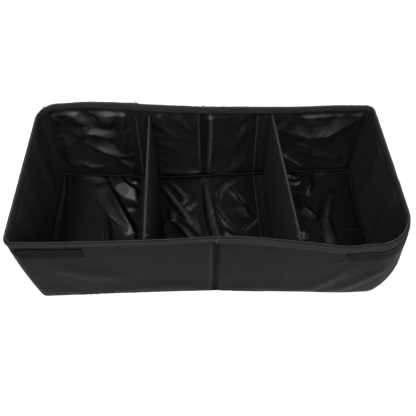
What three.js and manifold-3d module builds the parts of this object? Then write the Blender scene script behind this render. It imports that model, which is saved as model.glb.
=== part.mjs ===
// A folding storage box for a car: a long open box of black cloth with stiff boards sewn into its walls and floor.
// Tape binds the rim, the floor seam and the corners, and the walls and floor are stitched through at a centre fold.
// Two dividers stand across the box on hook-and-loop flanges and lift out, which leaves one long bay.
// Millimetres, +X to the right, +Y to the back, +Z up. The origin is below the middle of the box, on the floor.

import * as THREE from "three";
import { mergeVertices } from "three/addons/utils/BufferGeometryUtils.js";
import Module from "manifold-3d";

const wasm = await Module();
wasm.setup();

// Overall sizes of the wall's outer face
const RIM_LENGTH = 598;
const RIM_WIDTH = 276;
const FLOOR_LENGTH = 560;
const FLOOR_WIDTH = 256;
const WALL_HEIGHT = 160;

// Corners and folds in their order round the box. A set is how far the soft wall rests from a true rectangle there,
// in X and Y. A droop is how far the rim hangs below the wall's height, a belly is how far the wall swells at half its
// height, and a seam is where along a corner's rounding two walls are sewn together.
const CORNERS = [
  { name: "front_left", x: -1, y: -1, rimSet: [0, 0], floorSet: [4, -6], radii: [15, 12], droop: 1, belly: 2.5, seam: 0.5 },
  { name: "front_fold", x: 0, y: -1, rimSet: [5, 11], floorSet: [7, -1], radii: [0, 0], droop: 9, belly: 0 },
  { name: "front_right", x: 1, y: -1, rimSet: [2, -15], floorSet: [12, -10], radii: [62, 36], droop: 5, belly: 6, seam: 0.84 },
  { name: "back_right", x: 1, y: 1, rimSet: [-13, -2], floorSet: [-1, -1], radii: [14, 12], droop: 0, belly: 2, seam: 0.5 },
  { name: "back_fold", x: 0, y: 1, rimSet: [-5, -3], floorSet: [0, -13], radii: [0, 0], droop: 2, belly: 0 },
  { name: "back_left", x: -1, y: 1, rimSet: [17, 6], floorSet: [12, -7], radii: [37, 12], droop: -2, belly: 2, seam: 0.5 },
];
const CORNER_STEPS = 6;

// The run of wall after each corner. A bow is how far the wall stands out at shares of the run, at the rim and the floor.
const RUNS = [
  { steps: 6, belly: 0.6, shares: [0, 0.3, 0.7, 1], rimBows: [0, 2.2, 2.2, 0], floorBows: [0, -0.6, -0.8, 0] },
  { steps: 9, belly: 0.6, shares: [0, 0.17, 0.6, 0.86, 1], rimBows: [0, -1.6, 2.4, 5.8, 0], floorBows: [0, 0.6, 1.4, 2, 0] },
  { steps: 5, belly: 3, shares: [0, 0.4, 0.75, 1], rimBows: [0, 0.3, 0.2, 0], floorBows: [0, -7.5, -4, 0] },
  { steps: 7, belly: 1, shares: [0, 0.13, 0.5, 0.8, 1], rimBows: [0, 1.2, -2.8, -1.2, 0], floorBows: [0, 0.4, 1.2, 1.2, 0] },
  { steps: 7, belly: 1, shares: [0, 0.33, 0.7, 0.86, 1], rimBows: [0, 1.2, 5, 4.6, 0], floorBows: [0, -3.6, -1, -0.3, 0] },
  { steps: 5, belly: 2.5, shares: [0, 0.5, 1], rimBows: [0, 0, 0], floorBows: [0, 0.5, 0] },
];
const WALL_ROWS = 4;

// Layers of a wall, from its outer face inwards, and the air left between pieces that touch
const AIR = 0.3;
const COVER_THICK = 0.8;
const BOARD_THICK = 2.5;
const LINING_THICK = 0.7;

// The stitched folds: half the gap between two boards, and how far the cloth dips into it
const WALL_FOLD_HALF = 6;
const FLOOR_FOLD_HALF = 9;
const FOLD_DIP_SHARE = 0.8;
const BOARD_SEAM_MARGIN = 4;
const BOARD_RIM_MARGIN = 6;

// Binding tapes
const TAPE_THICK = 0.8;
const RIM_TAPE_WIDTH = 13;
const SEAM_BEAD = 3.6;

// Closure strips on the front wall, which hold the folded box shut
const CLOSURE_WIDTH = 20;
const CLOSURE_LENGTH = 86;
const CLOSURE_THICK = 1.4;
const CLOSURE_BELOW_RIM = 17;
const CLOSURE_FROM_SEAM = 14;

// Dividers: where each crosses the box, as shares of the rim's and the floor's length from their middles, first at the
// front and then at the back, and how far its top edge lies below the rim at its front end and at its back end
const DIVIDERS = [
  { side: "left", rimPlaces: [-0.167, -0.165], floorPlaces: [-0.161, -0.159], belowRim: [5, 15] },
  { side: "right", rimPlaces: [0.216, 0.186], floorPlaces: [0.211, 0.202], belowRim: [5, 9] },
];
const DIVIDER_BOARD_THICK = 2;
const DIVIDER_CLOTH_THICK = 0.5;
const DIVIDER_AIR = 0.4;
const DIVIDER_TAPE_WIDTH = 9;
const DIVIDER_TAPE_THICK = 0.5;
const DIVIDER_BOARD_MARGIN = 3;
const DIVIDER_END_CLEAR = 0.9;
const DIVIDER_STEPS = 6;
const FLANGE_WIDTH = 25;
const FLANGE_THICK = 1.2;
const LOOP_THICK = 1;
const LOOP_MARGIN = 3;
const FLANGE_FOOT_CLEAR = 12;
const FLANGE_TOP_CLEAR = 2;

// Depths of each layer below the wall's outer face, and heights of the floor's layers
const BOARD_DEPTH = COVER_THICK + AIR;
const LINING_DEPTH = BOARD_DEPTH + BOARD_THICK + AIR;
const WALL_THICK = LINING_DEPTH + LINING_THICK;
const FLOOR_BOARD_Z = COVER_THICK + AIR;
const FLOOR_LINING_Z = FLOOR_BOARD_Z + BOARD_THICK + AIR;
const FLOOR_TOP = FLOOR_LINING_Z + LINING_THICK;

// Colours and finishes of the cloths, boards and tapes
const cloth = new THREE.MeshStandardMaterial({ color: 0x222224, roughness: 0.6, metalness: 0 });
const liningCloth = new THREE.MeshStandardMaterial({ color: 0x17171a, roughness: 0.35, metalness: 0 });
const tape = new THREE.MeshStandardMaterial({ color: 0x2a2a2b, roughness: 0.8, metalness: 0 });
const hookTape = new THREE.MeshStandardMaterial({ color: 0x151515, roughness: 0.95, metalness: 0 });
const board = new THREE.MeshStandardMaterial({ color: 0x8c8378, roughness: 0.9, metalness: 0 });

const lerp = THREE.MathUtils.lerp;

// How far a run of wall stands out at share t of its length
function bowAt(run, bowKey, t) {
  return new THREE.CubicInterpolant(run.shares, run[bowKey], 1).evaluate(t)[0];
}

// Shares of a run at which stations stand, closer together beside a fold
function runShares(length, steps, foldAtStart, foldAtEnd) {
  const near = [0, WALL_FOLD_HALF / 2, WALL_FOLD_HALF].map((d) => d / length);
  const first = foldAtStart ? near : [0];
  const last = foldAtEnd ? near.map((d) => 1 - d).reverse() : [1];
  const low = first.at(-1);
  const high = last[0];
  const middle = Array.from({ length: steps - 1 }, (_, j) => lerp(low, high, (j + 1) / steps));
  return [...first, ...middle, ...last];
}

// One closed outline of the wall's outer face, at the rim or at the floor, as a list of stations
function outline(length, width, setKey, edge, bowKey) {
  const points = CORNERS.map((c) => {
    return new THREE.Vector2((c.x * length) / 2 + c[setKey][0], (c.y * width) / 2 + c[setKey][1]);
  });
  const stations = [];
  CORNERS.forEach((corner, k) => {
    const next = CORNERS[(k + 1) % CORNERS.length];
    const from = points[k];
    const to = points[(k + 1) % points.length];
    const along = to.clone().sub(from).normalize();
    const outward = new THREE.Vector2(along.y, -along.x);
    const start = from.clone().addScaledVector(along, tangentLength(points, k, corner.radii[edge]));
    const end = to.clone().addScaledVector(along, -tangentLength(points, k + 1, next.radii[edge]));
    const run = RUNS[k];
    const isFold = corner.x === 0;
    const meetsFold = next.x === 0;
    const shares = runShares(start.distanceTo(end), run.steps, isFold, meetsFold);
    shares.slice(isFold ? 1 : 0).forEach((t) => {
      const point = start.clone().lerp(end, t).addScaledVector(outward, bowAt(run, bowKey, t));
      const droop = lerp(corner.droop, next.droop, t);
      const belly = t < 0.5 ? lerp(corner.belly, run.belly, 2 * t) : lerp(run.belly, next.belly, 2 * t - 1);
      stations.push({ point, droop, belly, name: t === 1 && meetsFold ? next.name : "" });
    });
    if (meetsFold) return;
    const centre = end.clone().addScaledVector(outward, -next.radii[edge]);
    const turn = turnAt(points, k + 1);
    const seamStep = Math.round(next.seam * CORNER_STEPS);
    for (let j = 1; j < CORNER_STEPS; j += 1) {
      const point = end.clone().rotateAround(centre, (turn * j) / CORNER_STEPS);
      stations.push({ point, droop: next.droop, belly: next.belly, name: j === seamStep ? next.name : "" });
    }
  });
  return stations;
}

// How far the outline turns at one of its points, and how long a rounding of it is from the point to its start
function turnAt(points, k) {
  const [before, here, after] = [-1, 0, 1].map((j) => points[(k + j + points.length) % points.length]);
  return here.clone().sub(before).angleTo(after.clone().sub(here));
}

function tangentLength(points, k, radius) {
  return radius * Math.tan(turnAt(points, k) / 2);
}

// Outward normals of a closed outline, each square to the line between its neighbours
function outwardNormals(stations) {
  return stations.map((_, i) => {
    const before = stations.at(i - 1).point;
    const after = stations[(i + 1) % stations.length].point;
    const along = after.clone().sub(before).normalize();
    return new THREE.Vector2(along.y, -along.x);
  });
}

const rim = outline(RIM_LENGTH, RIM_WIDTH, "rimSet", 0, "rimBows");
const floor = outline(FLOOR_LENGTH, FLOOR_WIDTH, "floorSet", 1, "floorBows");
const rimNormals = outwardNormals(rim);
const floorNormals = outwardNormals(floor);
const COUNT = rim.length;

// Distance round the box to each station, along the middle of the wall's height, with the first one again at the end
const middles = rim.map((station, i) => station.point.clone().lerp(floor[i].point, 0.5));
const distances = [0];
for (let i = 0; i < COUNT; i += 1) {
  distances.push(distances[i] + middles[i].distanceTo(middles[(i + 1) % COUNT]));
}
const ROUND = distances[COUNT];

// Distance round the box to a corner's middle, or to a fold
function distanceTo(name) {
  return distances[rim.findIndex((station) => station.name === name)];
}

const foldDistances = ["front_fold", "back_fold"].map(distanceTo);

// How deep into a fold a distance round the box lies, from 0 beside it to 1 on its stitch line
function foldShare(distance) {
  const nearest = Math.min(...foldDistances.map((d) => Math.abs(distance - d)));
  return 1 - THREE.MathUtils.smoothstep(nearest, 0, WALL_FOLD_HALF);
}

// A level is a height up the wall: a share of its height plus an offset
const level = (share, offset = 0) => ({ share, offset });

// A point in the wall at one station: its level, its depth below the outer face, and its extra depth inside a fold
function stationPoint(index, at, depth, foldDepth = 0) {
  const i = index % COUNT;
  const height = WALL_HEIGHT - rim[i].droop;
  const z = at.share * height + at.offset;
  const v = z / height;
  const point = floor[i].point.clone().lerp(rim[i].point, v);
  const normal = floorNormals[i].clone().lerp(rimNormals[i], v).normalize();
  const belly = rim[i].belly * 4 * v * (1 - v);
  point.addScaledVector(normal, belly - depth - foldDepth * foldShare(distances[index]));
  return new THREE.Vector3(point.x, point.y, z);
}

// A point in the wall at any distance round the box, on the flat facet between two stations
function wallPoint(distance, at, depth, foldDepth = 0) {
  const wrapped = THREE.MathUtils.euclideanModulo(distance, ROUND);
  let i = distances.findIndex((d) => d > wrapped) - 1;
  if (i < 0) i = COUNT - 1;
  const t = (wrapped - distances[i]) / (distances[i + 1] - distances[i]);
  return stationPoint(i, at, depth, foldDepth).lerp(stationPoint(i + 1, at, depth, foldDepth), t);
}

// Distances from one place round the box to another: both ends, and every station between them
function distancesBetween(from, to) {
  const laps = [-ROUND, 0, ROUND];
  const stations = laps.flatMap((lap) => distances.slice(0, COUNT).map((d) => d + lap));
  return [from, ...stations.filter((d) => d > from + AIR && d < to - AIR), to];
}

// Levels from one height up the wall to another, the wall's rows among them
function levelsBetween(low, high, rows = WALL_ROWS) {
  const between = Array.from({ length: rows - 1 }, (_, j) => level((j + 1) / rows));
  return [low, ...between, high];
}

// A closed shell between two grids of points. Rows run along the shell; a looped shell joins its last row to its first.
function shell(outer, inner, looped = false) {
  const rows = outer.length;
  const columns = outer[0].length;
  const positions = [...outer.flat(), ...inner.flat()].flatMap((p) => [p.x, p.y, p.z]);
  const index = [];
  const a = (r, c) => (r % rows) * columns + c;
  const b = (r, c) => rows * columns + a(r, c);
  const quad = (p, q, r, s) => index.push(p, q, r, p, r, s);
  const spans = looped ? rows : rows - 1;
  for (let r = 0; r < spans; r += 1) {
    for (let c = 0; c < columns - 1; c += 1) {
      quad(a(r, c), a(r + 1, c), a(r + 1, c + 1), a(r, c + 1));
      quad(b(r, c), b(r, c + 1), b(r + 1, c + 1), b(r + 1, c));
    }
    quad(a(r, 0), b(r, 0), b(r + 1, 0), a(r + 1, 0));
    quad(a(r, columns - 1), a(r + 1, columns - 1), b(r + 1, columns - 1), b(r, columns - 1));
  }
  if (!looped) {
    for (let c = 0; c < columns - 1; c += 1) {
      quad(a(0, c), a(0, c + 1), b(0, c + 1), b(0, c));
      quad(a(rows - 1, c), b(rows - 1, c), b(rows - 1, c + 1), a(rows - 1, c + 1));
    }
  }
  const geometry = new THREE.BufferGeometry();
  geometry.setAttribute("position", new THREE.Float32BufferAttribute(positions, 3));
  geometry.setIndex(index);
  return facingOut(geometry);
}

// Turns every face round if the geometry's volume comes out negative
function facingOut(geometry) {
  const position = geometry.getAttribute("position");
  const index = geometry.index.array;
  const corner = (i) => new THREE.Vector3().fromBufferAttribute(position, index[i]);
  let volume = 0;
  for (let i = 0; i < index.length; i += 3) {
    volume += corner(i).dot(corner(i + 1).cross(corner(i + 2)));
  }
  if (volume < 0) {
    for (let i = 0; i < index.length; i += 3) {
      [index[i + 1], index[i + 2]] = [index[i + 2], index[i + 1]];
    }
  }
  return geometry;
}

// A sheet that follows the wall between two distances, two levels and two depths
function wallSheet(from, to, levels, outerDepth, innerDepth, foldDepth = 0) {
  const grid = (depth) => distancesBetween(from, to).map((d) => levels.map((l) => wallPoint(d, l, depth, foldDepth)));
  return shell(grid(outerDepth), grid(innerDepth));
}

// A flat sheet of the floor's outline at one depth, between two distances if given, lying between two heights
function floorSheet(depth, low, high, from = 0, to = ROUND) {
  const whole = from === 0 && to === ROUND;
  const places = whole ? distances.slice(0, COUNT) : distancesBetween(from, to);
  const points = places.map((d) => wallPoint(d, level(0, low), depth));
  const shape = new THREE.Shape(points.map((p) => new THREE.Vector2(p.x, p.y)));
  const geometry = new THREE.ExtrudeGeometry(shape, { depth: high - low, bevelEnabled: false });
  return geometry.translate(0, 0, low);
}

// A geometry as a solid for joining, and back again
function toSolid(geometry) {
  const bare = geometry.clone();
  bare.deleteAttribute("normal");
  bare.deleteAttribute("uv");
  const merged = mergeVertices(bare, 1e-3);
  const vertProperties = merged.getAttribute("position").array;
  return new wasm.Manifold(new wasm.Mesh({ numProp: 3, vertProperties, triVerts: new Uint32Array(merged.index.array) }));
}

function toGeometry(solid) {
  const mesh = solid.getMesh();
  const geometry = new THREE.BufferGeometry();
  geometry.setAttribute("position", new THREE.Float32BufferAttribute(mesh.vertProperties, 3));
  geometry.setIndex(new THREE.BufferAttribute(mesh.triVerts, 1));
  return geometry;
}

const box = new THREE.Group();

function addPiece(parent, name, geometry, material) {
  const mesh = new THREE.Mesh(geometry, material);
  mesh.name = name;
  parent.add(mesh);
}

// The four walls as spans round the box, from corner to corner, and the fold that crosses the long ones
const cornerAt = Object.fromEntries(CORNERS.map((c) => [c.name, distanceTo(c.name)]));
const WALLS = [
  { name: "front", from: cornerAt.front_left - ROUND, to: cornerAt.front_right, fold: cornerAt.front_fold },
  { name: "right_end", from: cornerAt.front_right, to: cornerAt.back_right },
  { name: "back", from: cornerAt.back_right, to: cornerAt.back_left, fold: cornerAt.back_fold },
  { name: "left_end", from: cornerAt.back_left, to: cornerAt.front_left },
];
const foldDip = (BOARD_THICK / 2) * FOLD_DIP_SHARE;
const hem = level(1, -RIM_TAPE_WIDTH);

for (const wall of WALLS) {
  const from = wall.from + AIR / 2;
  const to = wall.to - AIR / 2;
  const coverLevels = levelsBetween(level(0, FLOOR_BOARD_Z), hem).concat(level(1));
  addPiece(box, `${wall.name}_cover`, wallSheet(from, to, coverLevels, 0, COVER_THICK, foldDip), cloth);
  addPiece(box, `${wall.name}_lining`, wallSheet(from, to, coverLevels, LINING_DEPTH, WALL_THICK, -foldDip), liningCloth);

  const boardFoot = level(0, FLOOR_BOARD_Z + BOARD_SEAM_MARGIN);
  const boardLevels = levelsBetween(boardFoot, hem).concat(level(1, -BOARD_RIM_MARGIN));
  const boardInner = BOARD_DEPTH + BOARD_THICK;
  const boardFrom = wall.from + BOARD_SEAM_MARGIN;
  const boardTo = wall.to - BOARD_SEAM_MARGIN;
  if (wall.fold === undefined) {
    addPiece(box, `${wall.name}_board`, wallSheet(boardFrom, boardTo, boardLevels, BOARD_DEPTH, boardInner), board);
    continue;
  }
  const halves = [
    wallSheet(boardFrom, wall.fold - WALL_FOLD_HALF, boardLevels, BOARD_DEPTH, boardInner),
    wallSheet(wall.fold + WALL_FOLD_HALF, boardTo, boardLevels, BOARD_DEPTH, boardInner),
  ];
  const sides = wall.name === "front" ? ["left", "right"] : ["right", "left"];
  halves.forEach((half, i) => addPiece(box, `${wall.name}_board_${sides[i]}`, half, board));
}

// The floor: the cover is one flat cloth, two boards lie on it, and the lining dips between them at the fold
const floorSeamDepth = WALL_THICK + AIR;
const floorBoardDepth = floorSeamDepth + BOARD_SEAM_MARGIN;
const frontFold = cornerAt.front_fold;
const backFold = cornerAt.back_fold;
const floorHalves = {
  right: [frontFold + FLOOR_FOLD_HALF, backFold - FLOOR_FOLD_HALF],
  left: [backFold + FLOOR_FOLD_HALF, frontFold - FLOOR_FOLD_HALF + ROUND],
};

addPiece(box, "base_cover", floorSheet(0, 0, COVER_THICK), cloth);
for (const [side, [from, to]] of Object.entries(floorHalves)) {
  const geometry = floorSheet(floorBoardDepth, FLOOR_BOARD_Z, FLOOR_BOARD_Z + BOARD_THICK, from, to);
  addPiece(box, `base_board_${side}`, geometry, board);
}
addPiece(box, "base_lining", baseLining(), liningCloth);

// The floor's lining: a flat half each side, joined by a shallow valley over the fold
function baseLining() {
  const overlap = 1;
  const flats = Object.values(floorHalves).map(([from, to]) => {
    return toSolid(floorSheet(floorSeamDepth, FLOOR_LINING_Z, FLOOR_TOP, from - overlap, to + overlap));
  });
  const dip = BOARD_THICK * FOLD_DIP_SHARE;
  const offsets = [-1, -0.5, 0, 0.5, 1].map((share) => share * FLOOR_FOLD_HALF);
  const profile = (base) => offsets.map((offset) => {
    const share = 1 - THREE.MathUtils.smoothstep(Math.abs(offset), 0, FLOOR_FOLD_HALF);
    return { offset, z: base - dip * share };
  });
  const ends = [wallPoint(frontFold, level(0), floorSeamDepth), wallPoint(backFold, level(0), floorSeamDepth)];
  const grid = (base) => profile(base).map(({ offset, z }) => {
    const front = wallPoint(frontFold + offset, level(0), floorSeamDepth);
    const back = wallPoint(backFold - offset, level(0), floorSeamDepth);
    front.setZ(z);
    back.setZ(z);
    return offset === 0 ? ends.map((p) => p.clone().setZ(z)) : [front, back];
  });
  const valley = toSolid(shell(grid(FLOOR_TOP), grid(FLOOR_LINING_Z)));
  return toGeometry(flats[0].add(flats[1]).add(valley));
}

// The rim's binding: one tape folded over the top edge of the wall, all round
function rimBinding() {
  const outerLeg = -AIR - TAPE_THICK;
  const innerLeg = WALL_THICK + AIR + TAPE_THICK;
  const outerPath = [
    [hem, outerLeg],
    [level(1, -TAPE_THICK), outerLeg],
    [level(1, AIR + TAPE_THICK), 0],
    [level(1, AIR + TAPE_THICK), WALL_THICK],
    [level(1, -TAPE_THICK), innerLeg],
    [hem, innerLeg],
  ];
  const innerPath = [
    [hem, -AIR],
    [level(1, -TAPE_THICK), -AIR],
    [level(1, AIR), -AIR],
    [level(1, AIR), WALL_THICK + AIR],
    [level(1, -TAPE_THICK), WALL_THICK + AIR],
    [hem, WALL_THICK + AIR],
  ];
  const grid = (path) => rim.map((_, i) => path.map(([at, depth]) => stationPoint(i, at, depth)));
  return shell(grid(outerPath), grid(innerPath), true);
}
addPiece(box, "rim_binding", rimBinding(), tape);

// The floor seam's binding: a bead of tape in the angle between the floor and the walls, all round
function floorSeamBinding() {
  const low = FLOOR_TOP + AIR;
  const wallSide = WALL_THICK + AIR;
  const outerPath = [[low + SEAM_BEAD, wallSide], [low, wallSide], [low, wallSide + SEAM_BEAD]];
  const innerPath = [
    [low + SEAM_BEAD, wallSide + SEAM_BEAD * 0.45],
    [low + SEAM_BEAD * 0.75, wallSide + SEAM_BEAD * 0.75],
    [low + SEAM_BEAD * 0.45, wallSide + SEAM_BEAD],
  ];
  const grid = (path) => rim.map((_, i) => path.map(([z, depth]) => stationPoint(i, level(0, z), depth)));
  return shell(grid(outerPath), grid(innerPath), true);
}
addPiece(box, "floor_seam_binding", floorSeamBinding(), tape);

// A corner seam's binding: a bead of tape up the inside of a corner, from the floor seam to the rim's binding
function cornerBinding(distance) {
  const low = level(0, FLOOR_TOP + SEAM_BEAD + 2 * AIR);
  const levels = levelsBetween(low, level(1, -RIM_TAPE_WIDTH - AIR));
  const half = SEAM_BEAD / 2;
  const face = WALL_THICK + AIR;
  const wallPath = [-half, 0, half];
  const grid = (depth, width) => levels.map((l) => wallPath.map((w) => wallPoint(distance + w * width, l, depth)));
  return shell(grid(face, 1), grid(face + SEAM_BEAD, 0.5));
}
for (const corner of CORNERS.filter((c) => c.x !== 0)) {
  addPiece(box, `corner_binding_${corner.name}`, cornerBinding(cornerAt[corner.name]), tape);
}

// Closure strips on the outside of the front wall: hooks at the left end, loops at the right end
const closureLevels = [level(1, -CLOSURE_BELOW_RIM - CLOSURE_WIDTH), level(1, -CLOSURE_BELOW_RIM)];
const hookFrom = WALLS[0].from + CLOSURE_FROM_SEAM;
const loopTo = WALLS[0].to - CLOSURE_FROM_SEAM;
const closureStrip = (from) => wallSheet(from, from + CLOSURE_LENGTH, closureLevels, -AIR - CLOSURE_THICK, -AIR);
addPiece(box, "closure_hook_strip", closureStrip(hookFrom), hookTape);
addPiece(box, "closure_loop_strip", closureStrip(loopTo - CLOSURE_LENGTH), hookTape);

// Distance round the box at which the wall's inner side has the given X, on the front wall or the back wall
function distanceAtX(wall, x, at, depth) {
  let low = wall.from;
  let high = wall.to;
  const rising = wall.name === "front";
  for (let i = 0; i < 40; i += 1) {
    const middle = (low + high) / 2;
    const here = wallPoint(middle, at, depth).x;
    if (here < x === rising) low = middle;
    else high = middle;
  }
  return (low + high) / 2;
}

// Depths below the wall's outer face of what stands on the lining where a divider meets it
const loopDepth = WALL_THICK + AIR;
const flangeDepth = loopDepth + LOOP_THICK + AIR;
const dividerEndDepth = flangeDepth + FLANGE_THICK + DIVIDER_END_CLEAR;
const floorLoopZ = FLOOR_TOP + AIR;
const footZ = floorLoopZ + LOOP_THICK + AIR;
const dividerFootZ = footZ + FLANGE_THICK + AIR;
const dividerHalf = DIVIDER_BOARD_THICK / 2 + DIVIDER_AIR + DIVIDER_CLOTH_THICK;
const frontWall = WALLS[0];
const backWall = WALLS[2];

for (const divider of DIVIDERS) {
  const group = new THREE.Group();
  const piece = (part) => `divider_${divider.side}_${part}`;

  // X of the divider's middle plane at a share of its length from front to back, and at a height
  const planeX = (share, z) => {
    const floorX = lerp(...divider.floorPlaces, share) * FLOOR_LENGTH;
    return lerp(floorX, lerp(...divider.rimPlaces, share) * RIM_LENGTH, z / WALL_HEIGHT);
  };

  // Height of its top edge at a share of its length
  const rimHeights = [frontWall, backWall].map((wall, share) => {
    return wallPoint(distanceAtX(wall, planeX(share, WALL_HEIGHT), level(1), WALL_THICK), level(1), WALL_THICK).z;
  });
  const topAt = (share) => lerp(rimHeights[0] - divider.belowRim[0], rimHeights[1] - divider.belowRim[1], share);

  // Y of its end at one wall and one height, with a margin, and more margin where it clears the floor seam's bead
  const endY = (wall, share, z, margin) => {
    const at = level(0, z);
    const clear = Math.max(0, dividerFootZ + SEAM_BEAD + 1 - z);
    const distance = distanceAtX(wall, planeX(share, z), at, dividerEndDepth);
    return wallPoint(distance, at, dividerEndDepth + margin + clear).y;
  };
  const point = (share, z, across, margin = 0) => {
    const y = lerp(endY(frontWall, 0, z, margin), endY(backWall, 1, z, margin), share);
    return new THREE.Vector3(planeX(share, z) + across, y, z);
  };

  // Rows of points from a low height up to a drop below the top edge, one row for each step along the divider
  const shares = Array.from({ length: DIVIDER_STEPS + 1 }, (_, j) => j / DIVIDER_STEPS);
  const heights = (low, high) => shares.map((share) => lerp(low, high, share));

  const boardHalf = DIVIDER_BOARD_THICK / 2;
  const boardLow = dividerFootZ + DIVIDER_BOARD_MARGIN;
  const boardFace = (across) => shares.map((share) => {
    const up = heights(boardLow, topAt(share) - DIVIDER_BOARD_MARGIN);
    return up.map((z) => point(share, z, across, DIVIDER_BOARD_MARGIN));
  });
  addPiece(group, piece("board"), shell(boardFace(-boardHalf), boardFace(boardHalf)), board);

  // The cover is one cloth folded round the board's foot
  const wrap = (half, low) => shares.map((share) => {
    const up = heights(low, topAt(share));
    return [...up.toReversed().map((z) => point(share, z, -half)), ...up.map((z) => point(share, z, half))];
  });
  const coverShell = shell(wrap(dividerHalf, dividerFootZ), wrap(boardHalf + DIVIDER_AIR, dividerFootZ + DIVIDER_CLOTH_THICK));
  addPiece(group, piece("cover"), coverShell, liningCloth);

  // The binding is a tape folded over the cover's top edge
  const tapeInner = dividerHalf + AIR;
  const tapeOuter = tapeInner + DIVIDER_TAPE_THICK;
  const over = (half, rise) => shares.map((share) => {
    const top = topAt(share);
    const path = [[-half, top - DIVIDER_TAPE_WIDTH], [-half, top + rise], [half, top + rise], [half, top - DIVIDER_TAPE_WIDTH]];
    return path.map(([across, z]) => point(share, z, across));
  });
  addPiece(group, piece("binding"), shell(over(tapeOuter, AIR + DIVIDER_TAPE_THICK), over(tapeInner, AIR)), tape);

  // Flanges turn left from the divider's ends, and loop tape on the walls takes their hooks
  for (const [share, wall] of [frontWall, backWall].entries()) {
    const toLeft = wall === frontWall ? -1 : 1;
    const strip = (depth, thick, low, high, near, far) => {
      const offsets = [0, 0.33, 0.67, 1].map((step) => lerp(near, far, step) * toLeft);
      const grid = (layer) => heights(low, high).map((z) => {
        const middle = distanceAtX(wall, planeX(share, z), level(0, z), layer);
        return offsets.map((offset) => wallPoint(middle + offset, level(0, z), layer));
      });
      return shell(grid(depth), grid(depth + thick));
    };
    const low = dividerFootZ + FLANGE_FOOT_CLEAR;
    const high = topAt(share) - FLANGE_TOP_CLEAR;
    const flange = strip(flangeDepth, FLANGE_THICK, low, high, -dividerHalf, FLANGE_WIDTH);
    addPiece(group, piece(`${wall.name}_flange`), flange, hookTape);
    const loopHigh = Math.min(high, rimHeights[share] - RIM_TAPE_WIDTH) - LOOP_MARGIN;
    const loop = strip(loopDepth, LOOP_THICK, low, loopHigh, LOOP_MARGIN, FLANGE_WIDTH - LOOP_MARGIN);
    addPiece(box, `${wall.name}_loop_strip_${divider.side}`, loop, hookTape);
  }

  // The foot flange turns left along the floor, over a loop strip of its own
  const bar = (near, far, low, thick, margin) => {
    const grid = (z) => [margin, -margin].map((shift, share) => {
      const foot = point(share, dividerFootZ, 0);
      return [near, far].map((across) => new THREE.Vector3(foot.x + across, foot.y + shift, z));
    });
    return shell(grid(low + thick), grid(low));
  };
  addPiece(group, piece("foot_flange"), bar(dividerHalf, -FLANGE_WIDTH, footZ, FLANGE_THICK, 0), hookTape);
  const floorLoop = bar(LOOP_MARGIN, LOOP_MARGIN - FLANGE_WIDTH, floorLoopZ, LOOP_THICK, LOOP_MARGIN);
  addPiece(box, `floor_loop_strip_${divider.side}`, floorLoop, hookTape);
  box.add(group);
}

// The origin goes below the middle of the box, on the floor
const bounds = new THREE.Box3().setFromObject(box);
const middle = bounds.getCenter(new THREE.Vector3());
box.position.set(-middle.x, -middle.y, -bounds.min.z);

const model = new THREE.Group();
model.add(box);

export default model;
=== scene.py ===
"""Looks of a folding storage box for a car: black coated cloth, stiffened walls, a bound rim and two dividers.

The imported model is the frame. Lengths in this file are millimetres until a mesh is made, and +X is to the right,
+Y to the back and +Z up. A distance runs round the box, along the wall at half its height, and a depth goes from the
wall's outer face inwards.
"""

import logging
import math
from collections.abc import Callable, Sequence
from dataclasses import dataclass, field, replace
from enum import Enum

import bmesh
import bpy
import numpy as np
from mathutils import Matrix, Vector, kdtree, noise


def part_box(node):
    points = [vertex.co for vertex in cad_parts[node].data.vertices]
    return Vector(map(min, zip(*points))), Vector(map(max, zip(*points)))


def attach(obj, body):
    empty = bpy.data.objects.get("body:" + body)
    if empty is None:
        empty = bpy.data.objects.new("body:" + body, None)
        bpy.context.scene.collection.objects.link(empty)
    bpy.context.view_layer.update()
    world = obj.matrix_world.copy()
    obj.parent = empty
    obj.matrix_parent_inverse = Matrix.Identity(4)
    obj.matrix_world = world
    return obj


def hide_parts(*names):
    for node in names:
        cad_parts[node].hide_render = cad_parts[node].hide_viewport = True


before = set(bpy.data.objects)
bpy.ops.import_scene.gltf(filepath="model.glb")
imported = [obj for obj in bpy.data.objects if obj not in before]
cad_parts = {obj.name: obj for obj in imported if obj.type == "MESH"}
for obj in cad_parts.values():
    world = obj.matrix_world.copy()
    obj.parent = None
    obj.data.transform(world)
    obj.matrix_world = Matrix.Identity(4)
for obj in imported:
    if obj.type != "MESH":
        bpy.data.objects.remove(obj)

LOG = logging.getLogger("storage_box")
MM = 0.001
Array = np.ndarray
Place = Callable[[Array, Array], Array]
Relief = Callable[[Array, Array], Array]
Ramp = tuple[tuple[float, float], ...]
FOLD_SHADE_WIDTH = 0.02


class Body(Enum):
    """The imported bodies."""

    BOX = "box"
    LEFT = "divider_left"
    RIGHT = "divider_right"


class Slot(Enum):
    """The material slots."""

    OUTER = "outer_cloth"
    LINING = "lining_cloth"
    DIVIDER = "divider_cloth"
    TAPE = "binding_tape"
    HOOK = "hook_and_loop"
    BOARD = "board"


# ------------------------------------------------------------
# Shader maths
# ------------------------------------------------------------


def _sign(word: str, reflected: bool = False) -> "Callable[[Link, Link | float], Link]":
    """The method for one arithmetic sign. Reflected is for a link on the right of the sign."""

    def joined(self: "Link", other: "Link | float") -> "Link":
        """This value and the other, under the sign."""
        return self._joined(word, other, reflected)

    return joined


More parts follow.
